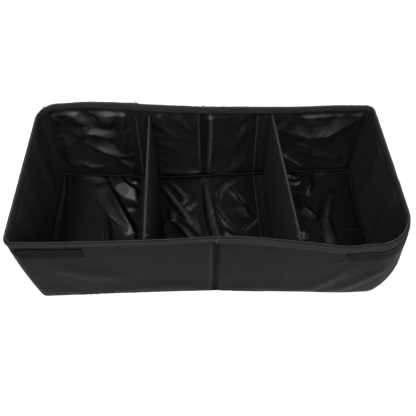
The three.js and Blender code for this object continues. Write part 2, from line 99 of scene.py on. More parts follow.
class Link:
    """An output socket that takes part in Python expressions. Numbers go through Math nodes, vectors and colours
    through Vector Math and Mix nodes."""

    def __init__(self, graph: "Graph", socket: bpy.types.NodeSocket) -> None:
        """Keeps the socket and the graph that it stands in."""
        self.graph = graph
        self.socket = socket

    def _joined(self, word: str, other: "Link | float", reflected: bool = False) -> "Link":
        """One arithmetic node on this value and another.

        Args:
            word: The operation, as Blender's Math node names it.
            other: The second value, a link or a number.
            reflected: True where this value stands on the right of the sign.

        Returns:
            The node's result.
        """
        pair = [other, self] if reflected else [self, other]
        kinds = {v.socket.type for v in pair if isinstance(v, Link)}
        if "RGBA" in kinds:
            settings = {"data_type": "RGBA", "blend_type": word, "clamp_factor": False}
            sides = [v if isinstance(v, Link) else (v, v, v, 1.0) for v in pair]
            return self.graph.node("ShaderNodeMix", settings, {0: 1.0, 6: sides[0], 7: sides[1]}, 2)
        if "VECTOR" in kinds:
            sides = [v if isinstance(v, Link) else (v, v, v) for v in pair]
            return self.graph.node("ShaderNodeVectorMath", {"operation": word}, {0: sides[0], 1: sides[1]})
        return self.graph.node("ShaderNodeMath", {"operation": word}, {0: pair[0], 1: pair[1]})

    __add__, __radd__ = _sign("ADD"), _sign("ADD", True)
    __sub__, __rsub__ = _sign("SUBTRACT"), _sign("SUBTRACT", True)
    __mul__, __rmul__ = _sign("MULTIPLY"), _sign("MULTIPLY", True)
    __truediv__, __pow__ = _sign("DIVIDE"), _sign("POWER")

    def wave(self, pitch: float) -> "Link":
        """A wave from -1 to 1 along this value, one for each pitch."""
        turned = self * (2 * math.pi / pitch)
        return self.graph.node("ShaderNodeMath", {"operation": "SINE"}, {0: turned})

    def size(self) -> "Link":
        """This value without its sign."""
        return self.graph.node("ShaderNodeMath", {"operation": "ABSOLUTE"}, {0: self})

    def ramp(self, *stops: tuple[float, float]) -> "Link":
        """This value through a ramp of grey stops, each a place and a level."""
        return self.graph.node("ShaderNodeValToRGB", {"stops": stops}, {0: self})

    def between(self, low: float, high: float) -> "Link":
        """A value from 0 to 1 stretched to run from low to high."""
        return self * (high - low) + low


class Graph:
    """The node tree of one material or world."""

    def __init__(self, owner: bpy.types.Material | bpy.types.World) -> None:
        """Empties the owner's tree."""
        owner.use_nodes = True
        self.tree = owner.node_tree
        self.tree.nodes.clear()

    def node(self, kind: str, settings: dict | None = None, values: dict | None = None, output: int = 0) -> Link:
        """Adds any node.

        Args:
            kind: The node's type.
            settings: Its settings, which are set first. "stops" are a ramp's places and grey levels.
            values: For each input socket, by number or name, a link or a value.
            output: Which output to return.

        Returns:
            That output as a link.
        """
        made = self.tree.nodes.new(kind)
        for name, setting in (settings or {}).items():
            if name == "stops":
                stops = made.color_ramp.elements
                stops[0].position, stops[-1].position = setting[0][0], setting[-1][0]
                for place, _ in setting[1:-1]:
                    stops.new(place)
                for stop, (_, grey) in zip(stops, setting):
                    stop.color = (grey, grey, grey, 1.0)
            else:
                setattr(made, name, setting)
        for key, value in (values or {}).items():
            if isinstance(value, Link):
                self.tree.links.new(value.socket, made.inputs[key])
            else:
                made.inputs[key].default_value = value
        return Link(self, made.outputs[output] if made.outputs else None)

    def metres(self) -> tuple[Link, Link, Link]:
        """The piece's own cloth map, in metres: the whole vector, along the piece, and across it."""
        whole = self.node("ShaderNodeTexCoord", output=2)
        along = self.node("ShaderNodeSeparateXYZ", values={0: whole})
        across = Link(self, along.socket.node.outputs[1])
        return whole, along, across

    def grain(self, place: Link, size: float, detail: float = 3.0, rough: float = 0.55, warp: float = 0.0) -> Link:
        """Cloudy noise whose clouds are about one size across, in metres."""
        values = {"Vector": place, "Scale": 1.0 / size, "Detail": detail, "Roughness": rough, "Distortion": warp}
        return self.node("ShaderNodeTexNoise", {}, values)

    def bump(self, height: Link, distance: float, strength: float = 1.0, under: Link | None = None) -> Link:
        """A bump of a height from 0 to 1, as tall as distance in metres."""
        values: dict = {"Strength": strength, "Distance": distance, "Height": height}
        if under is not None:
            values["Normal"] = under
        return self.node("ShaderNodeBump", {}, values)

    def tinted(self, tone: Link, *shares: float) -> Link:
        """A grey tone as a colour, with a share of it for red, for green and for blue."""
        parts = {i: tone if share == 1.0 else tone * share for i, share in enumerate(shares)}
        return self.node("ShaderNodeCombineColor", {}, parts)

    def principled(self, tint: Link, rough: Link, normal: Link, reflect: float = 0.5, sheen: float = 0.0) -> Link:
        """A Principled shader."""
        names = ("Base Color", "Roughness", "Normal", "Specular IOR Level", "Sheen Weight")
        values = dict(zip(names, (tint, rough, normal, reflect, sheen)))
        return self.node("ShaderNodeBsdfPrincipled", {}, values)

    def surface(self, shader: Link) -> None:
        """Ends the tree in this shader."""
        owner = "World" if isinstance(self.tree.id_data, bpy.types.World) else "Material"
        self.node("ShaderNodeOutput" + owner, {}, {"Surface": shader})


# ------------------------------------------------------------
# Finishes
# ------------------------------------------------------------


@dataclass(frozen=True)
class Finish:
    """What every finish has: a name, and a material made of its own shader."""

    name: str

    def material(self) -> bpy.types.Material:
        """Makes the material, ready to assign."""
        made = bpy.data.materials.new(self.name)
        graph = Graph(made)
        graph.surface(self.shader(graph))
        return made

    def shader(self, graph: Graph) -> Link:
        """The finish's own shader. Each kind of finish gives its own."""
        raise NotImplementedError


@dataclass(frozen=True)
class CoatedCloth(Finish):
    """Black polyester cloth with a coating: a fine plain weave, faint clouds in colour and gloss, small creases.

    The shade is its grey, gloss its lowest and highest roughness, fold the place of a stitched fold along it in
    metres, where shade is painted into its colour, and the highlight field how much highlight is painted on crests.
    """

    shade: float
    gloss: tuple[float, float]
    reflect: float
    crease: float = 0.03
    blue: float = 1.03
    # Where shade is painted along a stitched fold, in metres along the piece; 0 for none
    fold: float = 0.0
    # How much lighter a painted highlight makes a crease's crest
    worn: float = 0.1
    weave: float = 0.0006
    weave_depth: float = 0.00003
    crease_depth: float = 0.0001

    def shader(self, graph: Graph) -> Link:
        """The cloth's shader."""
        place, along, across = graph.metres()
        clouds = graph.grain(place, 0.05, 4.0)
        dust = graph.grain(place, 0.003, 2.0, 0.7)
        tone = (clouds * 0.8 + dust * 0.2).between(self.shade * 0.8, self.shade * 1.2)
        # Painted shade: the cloth is darker along its stitched fold, where the groove lies in shadow
        if self.fold:
            tone = tone * ((along - self.fold).size() / FOLD_SHADE_WIDTH).ramp((0.0, 0.12), (0.2, 0.3), (0.36, 1.0))
        # Painted highlight: the crests of the listed creases are made lighter, broken into patches by noise
        crest_highlight = graph.node("ShaderNodeAttribute", {"attribute_name": "worn"}, output=2)
        patchy = graph.grain(place, 0.006, 3.0, 0.6).ramp((0.35, 0.3), (0.6, 1.0))
        tone = tone + crest_highlight * patchy * self.worn
        tint = graph.tinted(tone, 1.0, 0.97, self.blue)
        gloss = graph.grain(place, 0.022, 3.0).ramp((0.3, 0.0), (0.7, 1.0)).between(*self.gloss)
        threads = (along.wave(self.weave) * across.wave(self.weave)).between(0.35, 0.65)
        small = graph.grain(place, self.crease, 2.0, 0.5, 0.8)
        ridge = 1.0 - (small - 0.5).size() * 4.0
        bent = graph.bump(ridge, self.crease_depth)
        normal = graph.bump(threads, self.weave_depth, 0.6, bent)
        return graph.principled(tint, gloss, normal, self.reflect)


@dataclass(frozen=True)
class RibbedTape(Finish):
    """Black binding tape: fine ribs across its length, with highlight and shade painted in by a ramp across its
    width.
    """

    shade: float
    rib: float = 0.0009
    roughness: float = 0.75
    # A ramp across the width that paints highlight and shade into the tape; empty for none
    wear_and_painted_light: Ramp = ()
    width: float = 0.036

    def shader(self, graph: Graph) -> Link:
        """The tape's shader."""
        place, along, across = graph.metres()
        wear_and_painted_light = graph.grain(place, 0.03, 4.0)
        fuzz = graph.grain(place, 0.0015, 2.0, 0.8)
        tone = (wear_and_painted_light * 0.6 + fuzz * 0.4).between(self.shade * 0.55, self.shade * 1.45)
        # Painted light: the ramp lightens the tape where its top edge catches the light and darkens it beside that
        if self.wear_and_painted_light:
            tone = tone * (across / self.width).ramp(*self.wear_and_painted_light)
        tint = graph.tinted(tone, 1.0, 1.0, 1.02)
        ribs = along.wave(self.rib).between(0.3, 0.7) + across.wave(self.rib * 0.6) * 0.1
        puckers = graph.grain(place, 0.008, 3.0)
        normal = graph.bump(ribs, 0.00008, 0.7, graph.bump(puckers, 0.0006, 0.8))
        rough = wear_and_painted_light.between(self.roughness - 0.1, self.roughness + 0.1)
        return graph.principled(tint, rough, normal, 0.1, 0.01)


@dataclass(frozen=True)
class GripTape(Finish):
    """Black hook-and-loop tape: rows of small points on the hook side, matted fuzz on the loop side."""

    shade: float
    pitch: float
    depth: float
    fuzz: float
    reflect: float = 0.08
    # A ramp across the width that paints highlight lines into the tape; empty for none
    wear_and_painted_light: Ramp = ()
    width: float = 0.027

    def shader(self, graph: Graph) -> Link:
        """The tape's shader."""
        place, along, across = graph.metres()
        points = (along.wave(self.pitch) * across.wave(self.pitch)).size()
        mat = graph.grain(place, 0.0018, 3.0, 0.8, 1.5)
        clouds = graph.grain(place, 0.015, 3.0)
        height = points * (1.0 - self.fuzz) + mat * self.fuzz
        tone = (height * 0.6 + clouds * 0.4).between(self.shade * 0.4, self.shade * 1.7)
        # Painted highlight: the ramp lightens lines along the flange's woven edges
        if self.wear_and_painted_light:
            tone = tone * (along / self.width).ramp(*self.wear_and_painted_light)
        tint = graph.tinted(tone, 1.0, 0.99, 1.0)
        normal = graph.bump(height, self.depth, 0.9)
        return graph.principled(tint, mat.between(0.8, 1.0), normal, self.reflect, 0.05 * self.fuzz)


@dataclass(frozen=True)
class GreyBoard(Finish):
    """Grey-brown board: pressed fibres and darker flecks."""

    def shader(self, graph: Graph) -> Link:
        """The board's shader."""
        place = graph.node("ShaderNodeTexCoord", output=3)
        fibres = graph.grain(place, 0.004, 5.0, 0.7, 2.0)
        flecks = graph.grain(place, 0.0015, 2.0, 0.6).ramp((0.3, 0.7), (0.45, 1.0))
        tone = fibres.between(0.75, 1.15) * flecks
        tint = graph.tinted(tone, 0.26, 0.23, 0.19)
        return graph.principled(tint, fibres.between(0.85, 0.95), graph.bump(fibres, 0.0002))


@dataclass(frozen=True)
class StudioFloor(Finish):
    """A pale floor that the camera and glossy faces see as white, with the object's soft shadow on it."""

    glow: float = 0.9
    pale: float = 0.8

    def shader(self, graph: Graph) -> Link:
        """The floor's shader."""
        seen = graph.node("ShaderNodeLightPath")
        outputs = seen.socket.node.outputs
        rays = seen + Link(graph, outputs["Is Glossy Ray"]) + Link(graph, outputs["Is Transmission Ray"])
        shade = graph.node("ShaderNodeTexCoord", output=3)
        tone = graph.grain(shade, 0.6, 2.0).between(self.pale - 0.02, self.pale + 0.02)
        tint = graph.tinted(tone, 1.0, 1.0, 1.0)
        matt = graph.node("ShaderNodeBsdfDiffuse", {}, {"Color": tint})
        thin = graph.node("ShaderNodeBsdfDiffuse", {}, {"Color": (0.2, 0.2, 0.2, 1.0)})
        glow = graph.node("ShaderNodeEmission", {}, {"Color": (1.0, 1.0, 1.0, 1.0), "Strength": self.glow})
        white = graph.node("ShaderNodeAddShader", {}, {0: glow, 1: thin})
        return graph.node("ShaderNodeMixShader", {}, {0: rays, 1: matt, 2: white})


# Ramps of painted light: a share across the tape, and how light it is painted there
# Rim binding: a painted highlight over its top edge, with a painted shade line just below it on the outer side
RIM_PAINTED_LIGHT: Ramp = (
    (0.0, 0.46), (0.3, 0.48), (0.36, 0.1), (0.42, 0.1), (0.47, 1.0), (0.62, 0.95), (0.7, 0.5), (1.0, 0.4),
)
# Divider binding: a painted highlight over its top edge
EDGE_PAINTED_HIGHLIGHT: Ramp = ((0.0, 0.35), (0.34, 0.35), (0.44, 1.0), (0.56, 1.0), (0.66, 0.35), (1.0, 0.35))
# Flanges: painted highlight lines along both woven edges
FLANGE_PAINTED_HIGHLIGHT: Ramp = (
    (0.0, 0.1), (0.09, 0.12), (0.13, 0.45), (0.18, 0.14), (0.5, 0.25), (0.88, 0.14), (0.94, 0.8), (1.0, 0.4),
)


class Finishes:
    """Every finish of the box, made once."""

    def __init__(self) -> None:
        """Makes the materials."""
        outer = CoatedCloth("outer_cloth", 0.0114, (0.45, 0.55), 0.04, blue=1.12)
        # Copies of the outer cloth with shade painted along the stitched folds of the front and back walls
        folds = {"front": 0.2915, "back": 0.2825}
        self.outer = outer.material()
        self.outer_fold_shaded = {
            wall: replace(outer, name=f"{wall}_outer_cloth", fold=fold).material() for wall, fold in folds.items()
        }
        # The walls' lining has shade painted along its stitched fold too
        self.lining = CoatedCloth("lining_cloth", 0.0035, (0.42, 0.52), 0.5, 0.016, fold=0.2845).material()
        # Painted shade: the same lining cloth, made darker on the floor, where it lies in the walls' shadow
        self.floor_lining = CoatedCloth("floor_lining_cloth", 0.001, (0.38, 0.48), 0.5, 0.016).material()
        # Painted light: the same lining cloth, made several times lighter and rougher on the end walls
        self.wall_lining = CoatedCloth("end_lining_cloth", 0.018, (0.5, 0.6), 0.25).material()
        self.divider = CoatedCloth("divider_cloth", 0.02, (0.55, 0.65), 0.2).material()
        # The binding tapes and the flanges take the ramps of painted light
        self.tape = RibbedTape("binding_tape", 0.045, wear_and_painted_light=RIM_PAINTED_LIGHT).material()
        self.edge_tape = RibbedTape("edge_tape", 0.04, wear_and_painted_light=EDGE_PAINTED_HIGHLIGHT, width=0.022).material()
        self.seam_tape = RibbedTape("seam_tape", 0.016).material()
        self.corner_tape = RibbedTape("corner_tape", 0.012).material()
        self.flanges = GripTape("flange_tape", 0.035, 0.0016, 0.0004, 0.5, 0.1, FLANGE_PAINTED_HIGHLIGHT).material()
        self.frayed = RibbedTape("frayed_thread", 0.08, 0.0004, 0.7).material()
        self.hooks = GripTape("hook_tape", 0.0035, 0.0016, 0.0005, 0.35).material()
        self.loops = GripTape("loop_tape", 0.0045, 0.0022, 0.0004, 0.8).material()
        self.thread = RibbedTape("thread", 0.03, 0.0004, 0.6).material()
        self.board = GreyBoard("grey_board").material()


# ------------------------------------------------------------
# The wall's shape
# ------------------------------------------------------------

RIM, FLOOR = 0, 1
OUTLINE_SIZES = ((598.0, 276.0), (560.0, 256.0))
WALL_HEIGHT = 160.0
RUN_SAMPLES = 80
ARC_SAMPLES = 24
SEAM_STEPS = 6
FOLD_HALF = 8.0
PUFF, PUFF_SPREAD = 3.2, 42.0
# Heights at which the puff is all there and starts to fade, and where it ends
PUFF_FULL, PUFF_FADE, PUFF_END = 22.0, 55.0, 110.0


@dataclass(frozen=True)
class Corner:
    """A corner or a fold of the wall. Sets and radii are given at the rim and then at the floor."""

    name: str
    x: int
    y: int
    sets: tuple[complex, complex]
    radii: tuple[float, float] = (0.0, 0.0)
    droop: float = 0.0
    belly: float = 0.0
    seam: float = 0.0


@dataclass(frozen=True)
class Run:
    """The stretch of wall after a corner: how far it stands out at shares of its length, at the rim and the floor."""

    belly: float
    shares: tuple[float, ...]
    bows: tuple[tuple[float, ...], tuple[float, ...]]


CORNERS = (
    Corner("front_left", -1, -1, (0j, 4 - 6j), (15, 12), 1, 2.5, 0.5),
    Corner("front_fold", 0, -1, (5 + 11j, 7 - 1j), droop=9),
    Corner("front_right", 1, -1, (2 - 15j, 12 - 10j), (62, 36), 5, 6, 0.84),
    Corner("back_right", 1, 1, (-13 - 2j, -1 - 1j), (14, 12), 0, 2, 0.5),
    Corner("back_fold", 0, 1, (-5 - 3j, -13j), droop=2),
    Corner("back_left", -1, 1, (17 + 6j, 12 - 7j), (37, 12), -2, 2, 0.5),
)
RUNS = (
    Run(0.6, (0, 0.3, 0.7, 1), ((0, 2.2, 2.2, 0), (0, -0.6, -0.8, 0))),
    Run(0.6, (0, 0.17, 0.6, 0.86, 1), ((0, -1.6, 2.4, 5.8, 0), (0, 0.6, 1.4, 2, 0))),
    Run(3, (0, 0.4, 0.75, 1), ((0, 0.3, 0.2, 0), (0, -7.5, -4, 0))),
    Run(1, (0, 0.13, 0.5, 0.8, 1), ((0, 1.2, -2.8, -1.2, 0), (0, 0.4, 1.2, 1.2, 0))),
    Run(1, (0, 0.33, 0.7, 0.86, 1), ((0, 1.2, 5, 4.6, 0), (0, -3.6, -1, -0.3, 0))),
    Run(2.5, (0, 0.5, 1), ((0, 0, 0), (0, 0.5, 0))),
)


def smooth(x: Array, low: float, high: float) -> Array:
    """A smooth step from 0 at low to 1 at high."""
    t = np.clip((np.asarray(x, float) - low) / (high - low), 0.0, 1.0)
    return t * t * (3.0 - 2.0 * t)


def curve_through(places: Sequence[float], values: Sequence[float], t: Array) -> Array:
    """A cubic through values at places, evaluated at t.

    Args:
        places: Rising places.
        values: The value at each place.
        t: Where to evaluate.

    Returns:
        The values at t.
    """
    p, v = np.asarray(places, float), np.asarray(values, float)
    right = np.clip(np.searchsorted(p, t, side="right"), 1, len(p) - 1)
    left = right - 1
    before = np.where(left == 0, right, left - 1)
    after = np.where(right == len(p) - 1, left, (right + 1) % len(p))
    step = p[right] - p[left]
    wb = 0.5 * step / (p[left] - p[before])
    wa = 0.5 * step / (p[after] - p[right])
    s = (t - p[left]) / step
    s2, s3 = s * s, s * s * s
    return (
        (-wb * s3 + 2 * wb * s2 - wb * s) * v[before]
        + ((1 + wb) * s3 + (-1.5 - 2 * wb) * s2 + (-0.5 + wb) * s + 1) * v[left]
        + ((-1 - wa) * s3 + (1.5 + wa) * s2 + 0.5 * s) * v[right]
        + (wa * s3 - wa * s2) * v[after]
    )


class WallShape:
    """The outer face of the soft wall, from the floor's outline up to the rim's."""

    def __init__(self) -> None:
        """Works out both outlines, then the distances round the box."""
        rim, floor = self._outline(RIM), self._outline(FLOOR)
        self.marks: dict[str, float] = {}
        middle = (rim["point"] + floor["point"]) / 2
        self.distances = np.concatenate([[0.0], np.cumsum(np.abs(np.diff(np.append(middle, middle[0]))))])
        self.round = float(self.distances[-1])
        for name, index in rim["marks"].items():
            self.marks[name] = float(self.distances[index])
        columns = [floor["point"], rim["point"], self._normals(floor["point"]), self._normals(rim["point"])]
        table = [part for c in columns for part in (c.real, c.imag)] + [rim["droop"], rim["belly"]]
        self.table = [np.append(c, c[0]) for c in table]
        self.shift = np.zeros(2)
        low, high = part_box("rim_binding")
        tape = self.point(self.distances, self.rim_height(self.distances) - 4.0, -1.1)[:, :2]
        found = (tape.min(0) + tape.max(0)) / 2
        self.shift = np.array([(low.x + high.x) / 2, (low.y + high.y) / 2]) / MM - found
        LOG.info("wall: %.0f mm round, shifted by %s", self.round, np.round(self.shift, 2))

    def _outline(self, edge: int) -> dict:
        """One closed outline as points, droops, bellies and the places of its named corners.

        Args:
            edge: RIM or FLOOR.

        Returns:
            Arrays under point, droop and belly, and a dict under marks.
        """
        length, width = OUTLINE_SIZES[edge]
        posts = [complex(c.x * length / 2, c.y * width / 2) + c.sets[edge] for c in CORNERS]
        points: list[Array] = []
        droops: list[Array] = []
        bellies: list[Array] = []
        marks: dict[str, int] = {}
        count = 0
        for k, corner in enumerate(CORNERS):
            other = (k + 1) % len(CORNERS)
            following, run = CORNERS[other], RUNS[k]
            along = (posts[other] - posts[k]) / abs(posts[other] - posts[k])
            outward = along * -1j
            start = posts[k] + along * self._setback(posts, k, corner.radii[edge])
            end = posts[other] - along * self._setback(posts, other, following.radii[edge])
            t = np.linspace(0, 1, RUN_SAMPLES)[1 if corner.x == 0 else 0:]
            points.append(start + (end - start) * t + outward * curve_through(run.shares, run.bows[edge], t))
            droops.append(corner.droop + (following.droop - corner.droop) * t)
            bellies.append(np.interp(t, [0, 0.5, 1], [corner.belly, run.belly, following.belly]))
            count += len(t)
            if following.x == 0:
                marks[following.name] = count - 1
                continue
            centre = end - outward * following.radii[edge]
            shares = np.arange(1, ARC_SAMPLES) / ARC_SAMPLES
            turn = self._turn(posts, other)
            points.append(centre + (end - centre) * np.exp(1j * turn * shares))
            droops.append(np.full(len(shares), float(following.droop)))
            bellies.append(np.full(len(shares), float(following.belly)))
            seam = round(following.seam * SEAM_STEPS) / SEAM_STEPS
            marks[following.name] = count + round(seam * ARC_SAMPLES) - 1
            count += len(shares)
        return {
            "point": np.concatenate(points),
            "droop": np.concatenate(droops),
            "belly": np.concatenate(bellies),
            "marks": marks,
        }

    @staticmethod
    def _turn(posts: list[complex], k: int) -> float:
        """How far the outline turns at one of its posts, in radians."""
        ahead = posts[(k + 1) % len(posts)] - posts[k]
        return abs(float(np.angle(ahead / (posts[k] - posts[k - 1]))))

    @classmethod
    def _setback(cls, posts: list[complex], k: int, radius: float) -> float:
        """How far before a post its rounding starts."""
        return radius * math.tan(cls._turn(posts, k) / 2)

    @staticmethod
    def _normals(points: Array) -> Array:
        """Outward normals of a closed outline."""
        along = np.roll(points, -1) - np.roll(points, 1)
        return along / np.abs(along) * -1j

    def rim_height(self, distance: Array) -> Array:
        """Height of the wall's top edge at a distance round the box."""
        return WALL_HEIGHT - np.interp(np.mod(distance, self.round), self.distances, self.table[8])

    def fold_share(self, distance: Array) -> Array:
        """How deep into a stitched fold a distance lies, from 0 beside it to 1 on its stitch line."""
        wrapped = np.mod(distance, self.round)
        folds = [self.marks["front_fold"], self.marks["back_fold"]]
        nearest = np.min([np.abs(wrapped - f) for f in folds], axis=0)
        return 1.0 - smooth(nearest, 0.0, FOLD_HALF)

    def puff(self, distance: Array, height: Array) -> Array:
        """How far the outer cover stands off low on the front right corner."""
        near = np.exp(-(((np.mod(distance, self.round) - self.marks["front_right"]) / PUFF_SPREAD) ** 2))
        return PUFF * near * smooth(height, 0.0, PUFF_FULL) * (1.0 - smooth(height, PUFF_FADE, PUFF_END))

    def point(self, distance: Array, height: Array, depth: Array | float) -> Array:
        """Points in the wall.

        Args:
            distance: Distances round the box.
            height: Heights above the ground.
            depth: Depths below the wall's outer face.

        Returns:
            The points, one row each.
        """
        distance, height, depth = np.broadcast_arrays(np.asarray(distance, float), height, depth)
        wrapped = np.mod(distance, self.round)
        fx, fy, rx, ry, fnx, fny, rnx, rny, droop, belly = (np.interp(wrapped, self.distances, c) for c in self.table)
        v = height / (WALL_HEIGHT - droop)
        nx, ny = fnx + (rnx - fnx) * v, fny + (rny - fny) * v
        size = np.hypot(nx, ny)
        out = belly * 4 * v * (1 - v) - depth
        x = fx + (rx - fx) * v + nx / size * out + self.shift[0]
        y = fy + (ry - fy) * v + ny / size * out + self.shift[1]
        return np.stack([x, y, height + 0 * x], axis=-1)

    def distance_at_x(self, start: float, end: float, x: Array, height: Array, depth: float) -> Array:
        """Distance at which the front or back wall has a given X, at each height."""
        line = np.linspace(start, end, 700)
        found = []
        for wanted, z in zip(np.atleast_1d(x), np.atleast_1d(height)):
            across = self.point(line, z, depth)[:, 0]
            order = slice(None) if across[-1] > across[0] else slice(None, None, -1)
            found.append(np.interp(wanted, across[order], line[order]))
        return np.array(found)


# ------------------------------------------------------------
# Making pieces
# ------------------------------------------------------------


def linked(name: str, data: bpy.types.ID) -> bpy.types.Object:
    """A new object of the data, in the scene."""
    made = bpy.data.objects.new(name, data)
    bpy.context.scene.collection.objects.link(made)
    return made


def finished(bm: bmesh.types.BMesh, name: str) -> bpy.types.Mesh:
    """A new mesh of the bmesh, which is then freed."""
    mesh = bpy.data.meshes.new(name)
    bm.to_mesh(mesh)
    bm.free()
    return mesh


def weld(mesh: bpy.types.Mesh, filled: bool = False) -> None:
    """Welds the edges of a sheet that meet, and fills what stays open if asked."""
    bm = bmesh.new()
    bm.from_mesh(mesh)
    bmesh.ops.remove_doubles(bm, verts=bm.verts, dist=1e-6)
    if filled:
        bmesh.ops.holes_fill(bm, edges=[e for e in bm.edges if e.is_boundary])
        bmesh.ops.recalc_face_normals(bm, faces=bm.faces)
    bm.to_mesh(mesh)
    bm.free()


def mesh_points(mesh: bpy.types.Mesh) -> Array:
    """The places of a mesh's points, one row each."""
    flat = np.empty(len(mesh.vertices) * 3)
    mesh.vertices.foreach_get("co", flat)
    return flat.reshape(-1, 3)


def unit_grid(
    name: str, cells: tuple[int, int], flipped: bool = False
) -> tuple[bpy.types.Mesh, Array, Array]:
    """A flat grid with a cloth map.

    Args:
        name: The mesh's name.
        cells: How many cells it has along and across.
        flipped: True to turn its faces round.

    Returns:
        The mesh, and each point's shares along and across.
    """
    bm = bmesh.new()
    bm.loops.layers.uv.new("cloth_map")
    bmesh.ops.create_grid(bm, x_segments=cells[0], y_segments=cells[1], size=0.5, calc_uvs=True)
    if flipped:
        bmesh.ops.reverse_faces(bm, faces=bm.faces)
    for face in bm.faces:
        face.smooth = True
    mesh = finished(bm, name)
    flat = mesh_points(mesh)
    low, high = flat.min(0), flat.max(0)
    u, v = ((flat[:, i] - low[i]) / (high[i] - low[i]) for i in (0, 1))
    return mesh, u, v


def mapped_sheet(
    name: str,
    cells: tuple[int, int],
    size: tuple[float, float],
    place: Place,
    closed: bool = False,
    flipped: bool = False,
    worn: Relief | None = None,
) -> bpy.types.Object:
    """A grid laid on a surface, with its cloth map in metres.

    Args:
        name: The piece's name.
        cells: How many cells it has along and across.
        size: Its size along and across, in millimetres, for the cloth map.
        place: Gives the points, in millimetres, for shares along and across.
        closed: True to weld its last column to its first.
        flipped: True to turn its faces round.
        worn: Gives how strongly a highlight is painted on it, for places along and across in millimetres.

    Returns:
        The piece.
    """
    mesh, u, v = unit_grid(name, cells, flipped)
    mesh.vertices.foreach_set("co", (place(u, v) * MM).ravel())
    # Painted highlight on crease crests, kept as a point attribute that the cloth's material reads
    if worn is not None:
        crest_highlight = mesh.attributes.new("worn", "FLOAT", "POINT")
        crest_highlight.data.foreach_set("value", worn(u * size[0], v * size[1]).astype(np.float32))
    cloth_map = mesh.uv_layers[0].uv
    shares = np.empty(len(cloth_map) * 2, np.float32)
    cloth_map.foreach_get("vector", shares)
    shares = shares.reshape(-1, 2) * np.array(size, np.float32) * MM
    cloth_map.foreach_set("vector", shares.ravel())
    if closed:
        weld(mesh)
    mesh.update()
    return linked(name, mesh)


def thicken(piece: bpy.types.Object, thickness: float) -> None:
    """Gives a sheet its thickness, in millimetres, away from its face."""
    solid = piece.modifiers.new("thickness", "SOLIDIFY")
    solid.thickness = thickness * MM
    solid.offset = -1.0


def paint(piece: bpy.types.Object, finish: bpy.types.Material) -> None:
    """Gives a piece one finish in place of any that it has."""
    piece.data.materials.clear()
    piece.data.materials.append(finish)


def dress(
    piece: bpy.types.Object, body: Body, finish: bpy.types.Material, nodes: Sequence[str] = ()
) -> None:
    """Gives a piece its finish and its place in the frame.

    Args:
        piece: The piece.
        body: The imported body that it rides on.
        finish: Its material.
        nodes: The CAD nodes that it stands for.
    """
    paint(piece, finish)
    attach(piece, body.value)
    if nodes:
        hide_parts(*nodes)
    LOG.info("%s: %d faces, rides on %s", piece.name, len(piece.data.polygons), body.value)


def stitch_rows(
    name: str, rows: Sequence[Array], pitch: float, length: float, radius: float
) -> bpy.types.Object:
    """Rows of thread stitches, each a small bead drawn out along its row.

    Args:
        name: The piece's name.
        rows: For each row, the points of its line in millimetres.
        pitch: From one stitch to the next.
        length: Of a stitch.
        radius: Of the thread.

    Returns:
        The piece, one mesh for all the stitches.
    """
    bm = bmesh.new()
    for row in rows:
        steps = np.linalg.norm(np.diff(row, axis=0), axis=1)
        run = np.concatenate([[0.0], np.cumsum(steps)])
        for middle in np.arange(pitch / 2, run[-1], pitch):
            ends = [
                Vector([float(np.interp(middle + side * length / 2, run, row[:, i])) for i in range(3)]) * MM
                for side in (-1, 1)
            ]
            axis = ends[1] - ends[0]
            if axis.length < 1e-6:
                continue
            turn = axis.to_track_quat("X", "Z").to_matrix().to_4x4()
            scale = Matrix.Diagonal((length * 0.5 * MM, radius * MM, radius * MM, 1.0))
            bead = Matrix.Translation((ends[0] + ends[1]) / 2) @ turn @ scale
            bmesh.ops.create_icosphere(bm, subdivisions=1, radius=1.0, matrix=bead)
    for face in bm.faces:
        face.smooth = True
    return linked(name, finished(bm, name))


# Thread: from one stitch to the next, a stitch's length, and the thread's radius
RIM_STITCH = (4.2, 3.0, 0.28)
STRIP_STITCH = (3.6, 2.6, 0.3)
EDGE_STITCH = (4.0, 2.8, 0.25)
FRAYED_THREAD = (0.9, 1.3, 0.3)


def loose_threads(name: str, centre: Array, count: int, reach: float, seed: int) -> bpy.types.Object:
    """A tuft of short curled thread ends.

    Args:
        name: The piece's name.
        centre: Where they stand, in millimetres.
        count: How many there are.
        reach: How far they stray from the centre.
        seed: Which curls.

    Returns:
        The piece.
    """
    chance = np.random.default_rng(seed)
    rows = []
    for _ in range(count):
        start = chance.normal(0.0, 1.0, 3) * (0.6, 0.35, 0.35) * reach
        turn = chance.normal(0.0, 1.0, (7, 3)) * reach * 0.3
        walk = np.cumsum(turn, axis=0) + start
        far = np.linalg.norm(walk, axis=1, keepdims=True)
        walk = walk / np.maximum(1.0, far / (reach * chance.uniform(0.7, 1.5)))
        steps = np.linspace(0, 6, 25)
        rows.append(centre + np.stack([curve_through(range(7), walk[:, i], steps) for i in range(3)], -1))
    return stitch_rows(name, rows, *FRAYED_THREAD)


# ------------------------------------------------------------
# Folds in the cloth
# ------------------------------------------------------------


# A crease's ends stop at this share of its length, and the highlight painted on its crest is no wider than this
CREASE_END = 0.04
HIGHLIGHT_HALF = 3.6
CREST_ROUND = 0.12


